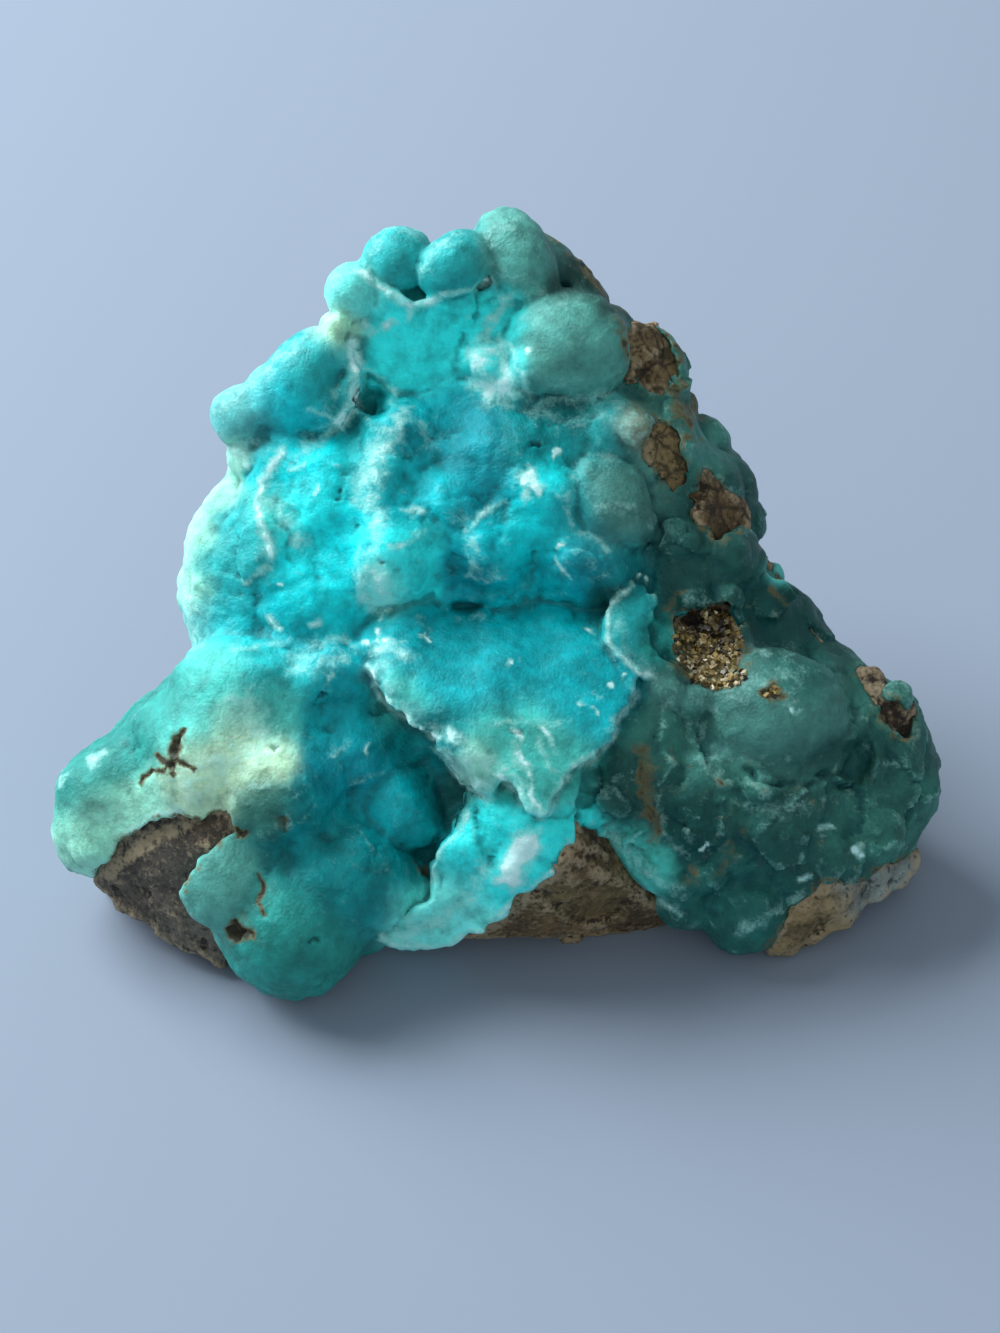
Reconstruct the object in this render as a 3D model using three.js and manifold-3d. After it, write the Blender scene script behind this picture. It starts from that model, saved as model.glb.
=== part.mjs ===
// Hemimorphite specimen: grown-together blue botryoids that crust a wedge of brown matrix rock.
// Millimetres, +Z up. The origin is on the resting plane, under the middle of the specimen.
import * as THREE from 'three';
import { ConvexGeometry } from 'three/addons/geometries/ConvexGeometry.js';
import { mergeVertices } from 'three/addons/utils/BufferGeometryUtils.js';
import Module from 'manifold-3d';

// ---------------------------------------------------------------- driving dimensions

const FACE_SLOPE = 45; // degrees that the crusted face leans back from upright
const FACE_MIDDLE = new THREE.Vector3(0.6, -7.9, 28.0); // where the face's own axes cross
const GAP = 0.35; // the crust stands off the rock by at least this much
const FACET_LENGTH = 5.0; // about how long one facet edge is on a botryoid
const GROUND_DEPTH = 20; // how far the trimming slab reaches below the resting plane
const GROUND_WIDTH = 200;
const BOSS_REACH = 7; // how far a boss of rock reaches down from a bare patch
const BOSS_SIDES = 9;
const BOSS_CLEAR_ABOVE = 8; // how far the crust is cleared away above a bare patch

const CRUST_COLOUR = '#2fb4bf';
const ROCK_COLOUR = '#4c4230';

// Every lump of the crust is an ellipsoid in the face's own axes, in rows of
// [across, up the slope, out of the face, radius across, radius up, radius out, turn in degrees].

// Broad masses that carry the smaller botryoids.
const BODY = [
  [-6.0, 15.5, -9.5, 23.5, 15.0, 11.5, 0],
  [-1.0, 31.0, -9.5, 12.5, 12.5, 9.0, 0],
  [9.0, 20.5, -9.5, 11.0, 16.5, 10.0, 30],
  [-14.5, 25.0, -8.5, 8.0, 9.5, 6.5, 0],
  [-23.5, -11.0, -9.5, 19.5, 13.5, 12.0, 16],
  [-19.5, -20.0, -8.5, 12.0, 11.0, 10.0, 0],
  [26.0, -11.5, -12.5, 16.5, 16.0, 13.0, -20],
  [22.0, 6.0, -13.0, 14.5, 7.5, 9.5, -45],
  [-2.0, -10.0, -9.0, 14.0, 12.0, 8.5, 0],
  [13.0, -4.0, -8.0, 8.0, 14.0, 8.0, 0],
  [-22.2, 8.6, -9.0, 10.4, 12.6, 9.0, 0],
];

// Round balls along the apex of the specimen.
const APEX = [
  [2.0, 40.6, -2.4, 5.6, 4.0, 4.6, -55],
  [-4.5, 39.9, 0.4, 4.1, 3.0, 3.4, 42],
  [-9.8, 40.0, -2.0, 4.0, 3.7, 4.0, 0],
  [-14.3, 36.8, -1.4, 3.3, 3.8, 3.8, 0],
  [-16.2, 33.8, 0.2, 1.4, 1.3, 1.4, 0],
];

// Domes down the left and the right shoulder.
const SHOULDERS = [
  [-19.8, 28.8, -1.8, 5.8, 4.4, 5.0, 62],
  [-25.6, 25.2, -3.4, 4.2, 3.8, 4.2, 20],
  [6.3, 32.0, -1.2, 7.6, 5.3, 5.4, -10],
  [-0.3, 29.8, 0.0, 3.3, 3.3, 3.4, 0],
  [14.6, 29.6, -5.8, 3.8, 5.0, 4.8, 0],
  [17.0, 25.4, -8.2, 3.2, 3.8, 4.4, 0],
  [22.2, 18.1, -10.8, 3.2, 4.2, 4.5, 15],
  [27.5, 9.2, -10.8, 1.0, 0.95, 1.0, 0],
];

// Low, merging botryoids over the middle of the face.
const CENTRE = [
  [1.0, 21.0, -3.0, 8.5, 6.2, 5.6, 0],
  [-12.0, 17.6, -1.2, 5.6, 3.4, 5.0, 78],
  [-10.6, 10.8, 0.8, 4.4, 5.0, 5.2, 0],
  [4.2, 16.6, -0.8, 5.0, 5.0, 5.2, 0],
  [8.6, 10.6, -1.8, 5.6, 4.6, 5.4, 0],
  [-17.0, 16.5, -3.2, 5.8, 7.0, 6.0, 0],
  [-27.6, 13.0, -6.8, 6.8, 3.8, 5.0, 68],
  [-29.6, 6.8, -7.6, 2.6, 6.6, 4.6, 0],
  [-18.4, 7.0, -4.2, 7.4, 6.6, 6.2, 0],
  [10.6, 24.0, -2.6, 5.2, 3.6, 4.8, 0],
  [12.6, 16.5, -0.4, 5.6, 5.2, 5.0, 0],
  [19.0, 10.5, -6.6, 7.4, 6.4, 6.4, 0],
  [20.6, 17.0, -8.2, 4.6, 6.2, 5.2, 10],
  [16.6, 22.0, -4.6, 4.4, 5.6, 5.0, 15],
];

// The lower left lobe.
const LEFT_LOBE = [
  [-25.0, -2.6, -2.8, 8.4, 6.0, 6.6, 0],
  [-29.0, -9.0, -2.4, 7.4, 7.2, 7.0, 0],
  [-38.8, -12.2, -7.4, 6.8, 5.2, 6.0, 24],
  [-40.6, -17.2, -8.4, 5.2, 4.8, 5.6, 0],
  [-34.0, -6.6, -6.6, 6.4, 4.0, 5.6, 38],
  [-22.0, -12.8, -1.4, 6.8, 7.4, 7.0, 0],
  [-21.0, -26.0, -3.2, 7.6, 7.5, 7.6, 0],
  [-15.6, -21.0, -3.4, 7.0, 7.0, 7.0, 0],
  [-10.2, -16.4, -2.6, 5.9, 5.8, 5.4, 0],
  [-15.4, -8.6, -3.8, 5.8, 6.6, 6.2, 0],
];

// The lower right lobe.
const RIGHT_LOBE = [
  [29.8, 4.6, -12.0, 4.2, 4.6, 5.0, -40],
  [34.2, -1.0, -11.0, 5.0, 3.8, 5.0, -35],
  [38.6, -6.5, -11.2, 5.0, 5.6, 6.4, 0],
  [39.8, -11.6, -11.4, 4.8, 5.8, 6.4, 0],
  [38.2, -17.6, -12.6, 4.6, 4.8, 5.6, 0],
  [35.6, -22.6, -12.2, 4.2, 3.6, 4.6, 30],
  [33.0, -24.4, -12.0, 4.0, 4.0, 4.6, 0],
  [27.0, -5.0, -5.0, 8.0, 6.8, 7.2, 0],
  [20.5, 2.6, -4.4, 5.4, 5.0, 5.4, 0],
  [13.2, 3.6, -1.2, 3.1, 4.8, 4.4, 0],
  [20.0, -13.6, -4.0, 5.8, 6.6, 6.6, 0],
  [24.5, -23.6, -8.2, 5.4, 5.4, 5.6, 0],
  [15.6, -19.4, -3.4, 6.4, 2.8, 4.2, -40],
  [14.0, -6.8, -2.4, 5.0, 5.2, 5.4, 0],
  [29.0, -13.0, -6.0, 7.4, 5.4, 6.4, 0],
];

// Small botryoids that overhang the bare rock of the left lobe, added after that break is cut.
const OVER_THE_BREAK = [
  [-26.6, -21.4, -1.6, 4.4, 4.8, 4.8, 0],
  [-27.6, -17.0, -0.4, 3.6, 3.4, 3.8, 0],
];

// Broken plates of crust with sharp edges: corner points in the face's own axes.
const SHELF = [
  [-12.9, 0.4, 4.4], [-10.5, 2.8, 3.2], [-9, 5.4, 0.6], [0, 6.8, -1.4], [9, 6.4, -1.6],
  [10, 2.6, 1.6], [14, -2.2, 4.2], [11.4, -7.8, 6], [4.4, -14.2, 8.4], [3.4, -14.4, 8.4],
  [-1, -12.6, 7.6], [-6.4, -7.4, 6.4], [-10, 0.4, -4], [0, 2, -7], [10, 1, -7],
  [11, -5, -5], [4, -13, 0], [-1, -11, -1], [-5, -6, -3],
];
const SPUR = [
  [-2.6, -13.5, 5.8], [6, -14, 7.4], [7.6, -17.2, 5.6], [4.5, -21.6, 3.4], [-1.5, -26.2, 0.4],
  [-7, -28.2, -2.4], [-11.8, -27.2, -3.4], [-6.8, -23.4, 2.6], [-6.5, -18.4, 5.2],
  [-2, -14, -3], [5, -15, -3], [5, -19, -4], [-1, -24, -5], [-8, -26, -6], [-5, -19, -4],
];
const UPPER_FACET = [
  [-15, 35, -1.8], [-10, 36.6, -2], [-3.2, 36, -1.6], [-1, 33.5, -2], [-4, 29.4, -2.8],
  [-9.8, 26.8, -2.4], [-13.6, 30, -2.2], [-15.2, 33, -2.2],
  [-13, 34, -8], [-4, 35, -8], [-5, 29, -9], [-10, 28, -9],
];

// The break that lays the rock bare at the foot of the left lobe, in the face's own axes.
const LOBE_BREAK = [
  [-40.5, -22, 12], [-32, -14.8, 12], [-28.6, -17.8, 12], [-28.6, -30.6, 12], [-38, -34, 12],
  [-40.5, -22, -16], [-32, -14.8, -9], [-28.6, -17.8, -9], [-28.6, -30.6, -16], [-38, -34, -16],
];

// Bare patches where the rock shows through the crust:
// [across, up the slope, level of the rock, radius across, radius up, turn in degrees].
const BARE_PATCHES = [
  [15.2, 31.0, -2.2, 2.8, 3.5, 20],
  [16.3, 21.0, -1.2, 2.1, 3.7, 22],
  [21.8, 16.6, -4.6, 2.3, 3.6, 20],
  [20.3, 2.4, -1.4, 3.2, 3.2, 0],
  [38.9, -5.2, -6.4, 2.6, 1.9, -35],
  [31.8, -25.0, -7.2, 4.0, 3.4, 35],
  [37.4, -21.6, -9.0, 2.4, 1.8, 20],
];

// The matrix rock: corner points of its broken blocks, in the specimen's own axes.
const ROCK_CORE = [
  [-27.4, -17.9, 0], [-32.4, -3.9, 0], [-23.4, 12.1, 0], [0.6, 21.1, 0], [25.6, 16.1, 0],
  [34.6, 0.1, 0], [32.6, -13.9, 0], [8.6, -19.9, 0], [-36.4, -8.9, 10], [-27.4, 10.1, 22],
  [-11.4, 22.1, 38], [1.6, 26.1, 51], [10.6, 20.1, 44], [20.6, 13.1, 27], [33.6, 2.1, 14],
  [35.6, -9.9, 8], [-7.4, 18.1, 44], [-13.4, 0.1, 27], [14.6, -1.9, 24], [-34.4, -13.9, 8],
  [30.6, -15.9, 8], [39.6, -6.4, 16.8], [37.4, -3.6, 12], [16.2, 18.4, 43.4], [21.8, 9.4, 34.6],
];
const FRONT_BLOCK = [
  [-5.9, -23.3, 4.4], [4.6, -23.3, 4], [18.1, -20.4, 5], [18.6, -15.9, 1], [-7.4, -15.9, 1],
  [7.8, -24.5, 18], [8.1, -17.9, 20], [0.6, -15.9, 18],
];
const LEFT_BLOCK = [
  [-39.8, -16.4, 4.4], [-37.9, -13.9, 8], [-34.4, -22.3, 3.6], [-27, -25.4, 2.2], [-26.9, -19.9, 0],
  [-33.4, -13.9, 0], [-29.9, -20.9, 16], [-25.4, -22.4, 17], [-37.8, -16.4, 9.2], [-27.4, -15.9, 12],
];
const RIGHT_BLOCK = [
  [26.5, -21.4, 0.6], [36.4, -20.4, 2.6], [39.4, -15.4, 4], [36, -11, 0], [27, -11, 0],
  [30.4, -22.2, 7.2], [36.2, -20.8, 7], [38.6, -16.6, 7.6], [30, -12, 14],
];
const ROCK_BLOCKS = [ROCK_CORE, FRONT_BLOCK, LEFT_BLOCK, RIGHT_BLOCK];

// ---------------------------------------------------------------- shapes

const wasm = await Module();
wasm.setup();

// From the face's own axes (across, up the slope, out) to the specimen's axes.
const faceToSpecimen = new THREE.Matrix4()
  .makeTranslation(FACE_MIDDLE)
  .multiply(new THREE.Matrix4().makeRotationX(THREE.MathUtils.degToRad(90 - FACE_SLOPE)));

function toSolid(geometry) {
  geometry.deleteAttribute('normal');
  geometry.deleteAttribute('uv');
  const welded = mergeVertices(geometry);
  const mesh = new wasm.Mesh({
    numProp: 3,
    vertProperties: new Float32Array(welded.attributes.position.array),
    triVerts: new Uint32Array(welded.index.array),
  });
  return new wasm.Manifold(mesh);
}

function toGeometry(solid) {
  const mesh = solid.getMesh();
  const geometry = new THREE.BufferGeometry();
  geometry.setAttribute('position', new THREE.BufferAttribute(mesh.vertProperties, 3));
  geometry.setIndex(new THREE.BufferAttribute(mesh.triVerts, 1));
  geometry.computeVertexNormals();
  return geometry;
}

// One botryoid, with about the same facet size on large and small ones.
function lump([across, up, out, radiusAcross, radiusUp, radiusOut, turn]) {
  const meanRadius = (radiusAcross + radiusUp + radiusOut) / 3;
  const detail = THREE.MathUtils.clamp(Math.round(meanRadius / FACET_LENGTH), 1, 5);
  const geometry = new THREE.IcosahedronGeometry(1, detail);
  geometry.scale(radiusAcross, radiusUp, radiusOut);
  geometry.rotateZ(THREE.MathUtils.degToRad(turn));
  geometry.translate(across, up, out);
  geometry.applyMatrix4(faceToSpecimen);
  return toSolid(geometry);
}

function block(corners, matrix = new THREE.Matrix4()) {
  const points = corners.map((corner) => new THREE.Vector3(...corner).applyMatrix4(matrix));
  return toSolid(new ConvexGeometry(points));
}

// The same block with every corner pushed out from its middle, to leave the gap around it.
function blockWithGap(corners, matrix = new THREE.Matrix4()) {
  const points = corners.map((corner) => new THREE.Vector3(...corner).applyMatrix4(matrix));
  const middle = new THREE.Vector3();
  points.forEach((point) => middle.addScaledVector(point, 1 / points.length));
  const pushed = points.map((point) => {
    const outward = point.clone().sub(middle).normalize();
    return point.clone().addScaledVector(outward, 2 * GAP);
  });
  return toSolid(new ConvexGeometry(pushed));
}

function union(solids) {
  return solids.reduce((joined, solid) => joined.add(solid));
}

function largestPiece(solid) {
  const pieces = solid.decompose();
  return pieces.reduce((best, piece) => (piece.volume() > best.volume() ? piece : best));
}

// The column of rock that stands in a bare patch, grown sideways and upwards to cut its opening.
function boss([across, up, level, radiusAcross, radiusUp, turn], grown = 0, above = 0) {
  const height = BOSS_REACH + grown + above;
  const geometry = new THREE.CylinderGeometry(1, 1, height, BOSS_SIDES);
  geometry.rotateX(Math.PI / 2);
  geometry.scale(radiusAcross + grown, radiusUp + grown, 1);
  geometry.rotateZ(THREE.MathUtils.degToRad(turn));
  geometry.translate(across, up, level + above - height / 2);
  geometry.applyMatrix4(faceToSpecimen);
  return toSolid(geometry);
}

function belowGround() {
  const slab = new THREE.BoxGeometry(GROUND_WIDTH, GROUND_WIDTH, GROUND_DEPTH);
  slab.translate(0, 0, -GROUND_DEPTH / 2);
  return toSolid(slab);
}

function matrixRock() {
  const blocks = ROCK_BLOCKS.map((corners) => block(corners));
  const bosses = BARE_PATCHES.map((patch) => boss(patch));
  return union([...blocks, ...bosses]).subtract(belowGround());
}

function rockWithGap() {
  const blocks = ROCK_BLOCKS.map((corners) => blockWithGap(corners));
  const bosses = BARE_PATCHES.map((patch) => boss(patch, GAP, BOSS_CLEAR_ABOVE));
  return union([...blocks, ...bosses]);
}

function hemimorphiteCrust() {
  const rows = [...BODY, ...APEX, ...SHOULDERS, ...CENTRE, ...LEFT_LOBE, ...RIGHT_LOBE];
  const plates = [SHELF, SPUR, UPPER_FACET].map((corners) => block(corners, faceToSpecimen));
  const grown = union([...rows.map(lump), ...plates]);
  const broken = grown.subtract(block(LOBE_BREAK, faceToSpecimen));
  const overhung = broken.add(union(OVER_THE_BREAK.map(lump)));
  return largestPiece(overhung.subtract(rockWithGap()).subtract(belowGround()));
}

// ---------------------------------------------------------------- the specimen

function namedMesh(name, solid, colour, roughness) {
  const material = new THREE.MeshStandardMaterial({ color: colour, roughness, metalness: 0 });
  const mesh = new THREE.Mesh(toGeometry(solid), material);
  mesh.name = name;
  return mesh;
}

const specimen = new THREE.Group();
specimen.add(namedMesh('matrix', matrixRock(), ROCK_COLOUR, 0.85));
specimen.add(namedMesh('hemimorphite_crust', hemimorphiteCrust(), CRUST_COLOUR, 0.4));

export default specimen;
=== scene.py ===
import math
import random

import bmesh
import bpy
import numpy as np
from mathutils import Euler, Matrix, Vector, noise
from mathutils.bvhtree import BVHTree


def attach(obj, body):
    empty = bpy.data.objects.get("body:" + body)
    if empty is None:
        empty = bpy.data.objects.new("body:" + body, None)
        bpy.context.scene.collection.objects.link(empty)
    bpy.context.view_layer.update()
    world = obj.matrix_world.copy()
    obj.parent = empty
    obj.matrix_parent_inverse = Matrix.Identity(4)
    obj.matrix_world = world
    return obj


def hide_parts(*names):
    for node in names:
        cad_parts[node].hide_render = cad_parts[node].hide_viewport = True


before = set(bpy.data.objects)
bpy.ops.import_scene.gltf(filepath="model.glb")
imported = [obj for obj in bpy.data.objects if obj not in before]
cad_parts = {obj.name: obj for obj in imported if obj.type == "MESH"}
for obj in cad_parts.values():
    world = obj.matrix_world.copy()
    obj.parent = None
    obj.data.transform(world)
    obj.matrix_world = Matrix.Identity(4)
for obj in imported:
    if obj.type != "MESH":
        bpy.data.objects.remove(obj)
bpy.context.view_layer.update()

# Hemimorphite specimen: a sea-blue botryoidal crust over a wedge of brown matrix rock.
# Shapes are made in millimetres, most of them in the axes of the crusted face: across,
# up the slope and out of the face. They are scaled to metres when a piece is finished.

noise.seed_set(5)  # vector noise is seeded from the clock otherwise

METRE = 0.001
FACE_SLOPE = 45  # degrees that the crusted face leans back
FACE_MIDDLE = Vector((0.6, -7.9, 28))
FACE = Matrix.Translation(FACE_MIDDLE) @ Matrix.Rotation(math.radians(90 - FACE_SLOPE), 4, "X")
FACE_OUT = (FACE.to_3x3() @ Vector((0, 0, 1))).normalized()
VIEW_DISTANCE = 400  # from the middle of the face to the camera
VIEW_HEIGHT = 133.3  # what the camera takes in at the middle of the face
SENSOR_WIDTH = 36

# cell sizes of the skins: the merged growth, the whole crust, the rock
BODY_VOXEL = 0.9
SKIN_VOXEL = 0.36
ROCK_VOXEL = 0.55
CRUST_TRIANGLES = 194_000
ROCK_TRIANGLES = 70_000
HIDDEN_FACING = -0.15  # skin that faces away more than this is thinned most

# plates of crust and bare patches of rock
SHEET_CELL = 0.4  # of the grid that an outline is cut from
SHEET_ROOM = 3  # more grid than the outline needs, for its teeth
TOOTH, FINE_TOOTH = 1.9, 0.7  # widths of the teeth along a broken outline
BAND_WIDTH = 2.4  # of the sloping fibrous band along a broken edge
OPENING_HEIGHT = 16  # of the crust that is cleared off a bare patch
OPENING_SINK = 1.2  # how far the clearing reaches into the rock
BOSS_DEPTH = 8  # of the rock raised under a bare patch
BOSS_MARGIN = 0.5  # how far that rock reaches under the crust round the patch
POCKET_DEPTH = 1.1

# widths of the patterns that shape the skins
COARSE_WAVE, MIDDLE_WAVE, FINE_WAVE = 6.5, 2.6, 0.95
CELL_REACH = 0.75  # of a cell's width, from its centre to its foot
BOTRYOID, CRUMB = 4.6, 1.7
CRUST_CHIP, CRUST_FLAKE = 5, 1.9
ROCK_SLAB, ROCK_CHIP = 7, 2.4
GRAIN_SIZE = (0.22, 0.55)

# ------------------------------------------------------------------ growth of the crust
# Ellipsoids: across, up, out, radius across, radius up, radius out, turn in degrees.

BODY = [
    (-6, 15.5, -9.5, 23.5, 15, 11.5, 0), (-1, 31, -9.5, 12.5, 12.5, 9, 0),
    (9, 20.5, -9.5, 11, 16.5, 10, 30), (-14.5, 25, -8.5, 8, 9.5, 6.5, 0),
    (-23.5, -11, -9.5, 19.5, 13.5, 12, 16), (-19.5, -20, -8.5, 12, 11, 10, 0),
    (26, -11.5, -12.5, 16.5, 16, 13, -20), (22, 6, -13, 14.5, 7.5, 9.5, -45),
    (-2, -10, -9, 14, 12, 8.5, 0), (13, -4, -8, 8, 14, 8, 0), (-21.9, 8.6, -9, 11.2, 13.2, 9, 0),
]
MERGED = [
    # middle of the face
    (1, 21, -3, 8.5, 6.2, 5.6, 0), (-10.2, 22.8, -1.8, 4.4, 4.4, 5, 0),
    (-12, 17.6, -1, 6, 3.2, 5, 72), (-10.6, 10.8, 0.6, 4.6, 4.9, 5.2, 0),
    (-1, 12, 0.6, 3.6, 4, 4.4, 0), (4.2, 16.6, -0.8, 4.6, 4.8, 5.2, 0),
    (8.6, 10.6, -1.8, 5.6, 4.6, 5.4, 0), (-5, 15.6, -1.6, 5.2, 5.4, 5.4, 0),
    (-17, 16.5, -3.2, 5.8, 7, 6, 0), (-23.4, 12.5, -4.4, 4.2, 7.4, 5.6, 0),
    (-18.4, 7, -4.2, 7.4, 6.6, 6.2, 0), (-21.4, 21.2, -4, 4.4, 4.6, 4.8, 0),
    (10.6, 24, -2.6, 5.2, 3.6, 4.8, 0), (19, 10.5, -6.6, 7.4, 6.4, 6.4, 0),
    (23.2, 6.2, -9.4, 5.4, 5.2, 5.6, 0), (20.6, 17, -8.2, 4.6, 6.2, 5.2, 10),
    (16.6, 22, -4.6, 4.4, 5.6, 5, 15),
    # lower left lobe
    (-25, -2.6, -2.8, 8.4, 6, 6.6, 0), (-16.8, -0.6, -2.6, 6.4, 4.2, 5.6, 10),
    (-29, -9, -2.4, 7.4, 7.2, 7, 0), (-38.8, -12.2, -7.4, 6.8, 5.2, 6, 24),
    (-40.6, -17.2, -8.4, 5.2, 4.8, 5.6, 0), (-34, -6.6, -6.6, 6.4, 4, 5.6, 38),
    (-22, -12.8, -1.4, 6.8, 7.4, 7, 0), (-22.4, -6, -1.8, 5.4, 4.6, 5, 0),
    (16.2, 2.4, -3.2, 2.6, 3.4, 3.4, 0), (-27, -20.8, -2.4, 5.4, 5.4, 5.6, 0),
    (-21, -26, -3.2, 7.6, 7.5, 7.6, 0), (-15.6, -21, -3.4, 7, 7, 7, 0),
    (-15.4, -8.6, -4.2, 5.8, 6.6, 6.2, 0), (-10.6, -23.2, -6, 5.2, 4.2, 5, 0),
    # lower right lobe
    (28.8, 4, -12, 4.2, 4.4, 5, -40), (34.2, -1, -11, 5, 3.8, 5, -35),
    (38.6, -6.5, -11.2, 5, 5.6, 6.4, 0), (40.2, -11.6, -11.4, 5.2, 6, 6.4, 0),
    (38.4, -16.8, -12.6, 4.8, 4.8, 5.6, 0), (35.2, -21.6, -12.2, 4, 3.2, 4.6, 30),
    (33, -24.4, -12, 4, 4, 4.6, 0), (34.6, -17.4, -9.2, 5.8, 5.4, 6.4, 0),
    (20.5, 2.6, -4.4, 5.4, 5, 5.4, 0), (20, -13.6, -4, 5.8, 6.6, 6.6, 0),
    (30.2, -22.6, -9.4, 4.8, 4.8, 5.2, 0), (19, -24.4, -7, 3.6, 2.8, 4.2, 0),
    (15.6, -19.4, -3.4, 6.4, 2.8, 4.2, -40), (11, -12.6, -2.4, 5, 4.2, 5.4, 0),
    (9, -14.6, -0.6, 3, 2.6, 3.6, 0), (14, -6.8, -2.6, 5, 5.2, 5.4, 0),
    (29, -14, -6, 7.4, 5, 6.4, 0),
]
BALLS = [
    # apex
    (1.9, 41, -2.4, 5.7, 3.6, 4.6, -60), (-0.2, 44.4, -3, 1.7, 1.5, 2.2, -50),
    (-4.6, 40.2, 0.4, 4, 3.1, 3.4, 38), (-10.1, 40.8, -1.8, 3.6, 3.3, 3.8, 0),
    (-14.8, 37.4, -1.4, 2.8, 3.2, 3.6, 0), (-16.4, 33.9, 0.2, 1.35, 1.3, 1.4, 0),
    (-14.4, 33.8, -1.6, 1.8, 1.8, 1.6, 0), (7, 39.6, -6.4, 6.2, 2, 3.6, -47),
    (8.6, 35.8, -3.6, 2.6, 2.2, 2.4, -30), (-11, 36.8, -5, 5.4, 4.4, 4, 0),
    (-15.2, 33, -5, 3.4, 3.6, 4, 0),
    # left shoulder
    (-19.7, 28.5, -2, 6.2, 4.2, 4.8, 60), (-17.6, 31, -1.4, 3.4, 3, 3.6, 0),
    (-22.6, 27, -2, 3.4, 3.6, 3.8, 0), (-18.4, 26.4, -1, 3, 3, 3.4, 0),
    (-25.9, 25.4, -3.2, 3.4, 3.2, 3.8, 20), (-24.6, 21.6, -4.6, 3.2, 2.8, 3.4, 60),
    # right shoulder
    (7, 32.2, -1.4, 6.5, 5.6, 5.2, -12), (4.4, 30.2, 0, 3.6, 3.4, 3.6, 0),
    (9, 33.2, -2, 4.2, 3.6, 4.6, 0), (-1.2, 30.2, -2, 2.3, 2.8, 3, 30),
    (0.9, 28.4, -2, 2.6, 1.9, 3, -30), (2, 26.8, -2.2, 2.2, 1.4, 2.8, -20),
    (11.4, 33.6, -4.8, 4.2, 2.5, 4.2, -40), (14.9, 29.8, -6.2, 4, 5.2, 4.8, 10),
    (17.2, 25.2, -8.2, 3.2, 3.8, 4.4, 0), (21.3, 23, -10.5, 2, 2.9, 3, 15),
    (23, 18.1, -10.8, 3.2, 4.2, 4.5, 15), (24.4, 14.4, -11.4, 2.5, 3.6, 4, 0),
    (28, 9.5, -9.2, 1.15, 1.1, 1.1, 0),
    # grey dome and cream knob on the right of the face
    (10.9, 16, 0, 4.3, 4.9, 3.3, 12), (9.2, 18.4, 0, 2.6, 2.6, 2.6, 0),
    (12.6, 14.2, 0, 2.9, 2.9, 2.8, 0), (13.4, 23.8, 0.2, 2.2, 2, 2.4, 0),
    # big dome and its neighbours on the right lobe
    (27.4, -4.8, -4.2, 7.9, 7, 6.2, -8), (34.4, -5.2, -7.4, 2.2, 6, 4, 12),
    (40.2, -3.1, -6.6, 1.6, 1.4, 1.8, 0), (24.8, -24, -7.6, 4.9, 5.4, 5.6, 0),
    (19.6, -15.6, -2.2, 4.2, 3.6, 4.8, 20), (15.2, -9.8, -1, 3.4, 2.4, 3.6, -20),
    (27.5, -15.6, -1.6, 4.4, 3.2, 2.4, 10), (31.6, -17.6, -3.2, 3.4, 4.2, 2.2, 30),
    (22.6, -18.6, -2.4, 3.6, 2.6, 2.2, -30), (37.2, -16.8, -6, 4, 3.4, 3.2, 0),
    (26, -12.2, -0.6, 2.7, 1.9, 2.2, 10), (34.2, -12.8, -4.6, 2.9, 2.2, 2.4, -10),
    (30.2, -21, -5.6, 3.2, 2.6, 2.6, 20), (20.6, -20.6, -2.2, 2.6, 2.4, 2.4, 0),
    (40.4, -9.2, -7.4, 2.2, 2.8, 2.4, 0), (19, -3.2, -1.6, 2.8, 2.2, 2.2, 20),
    (16, -2.4, -1.8, 3.4, 2.8, 3.4, 0),
    # rough ground above them
    (22, 11.2, -2.8, 3, 2.4, 2.4, -20), (26.4, 6.4, -5.8, 2.6, 2.4, 2.4, 0),
    (17.6, 12.6, -1, 2.4, 2, 2, 0), (19.7, 6.9, -1.6, 1.9, 1.7, 1.7, 0),
    (22.8, 6.9, -2.2, 1.7, 1.5, 1.6, 0),
    # low dome and small botryoids of the left lobe
    (-10.2, -14.2, -2.6, 4.8, 4.6, 3.4, -20), (-24.2, -13.8, 2.9, 3.2, 2.8, 1.9, 0),
    (-27, -21.2, 0.4, 5, 5.2, 3, -20),
]

# Broken plates of crust: outline (across, up) as seen, levels (across, up, out) of the top,
# depth of the plate, the part of its edge with a fibrous band, and how far that band drops.

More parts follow.
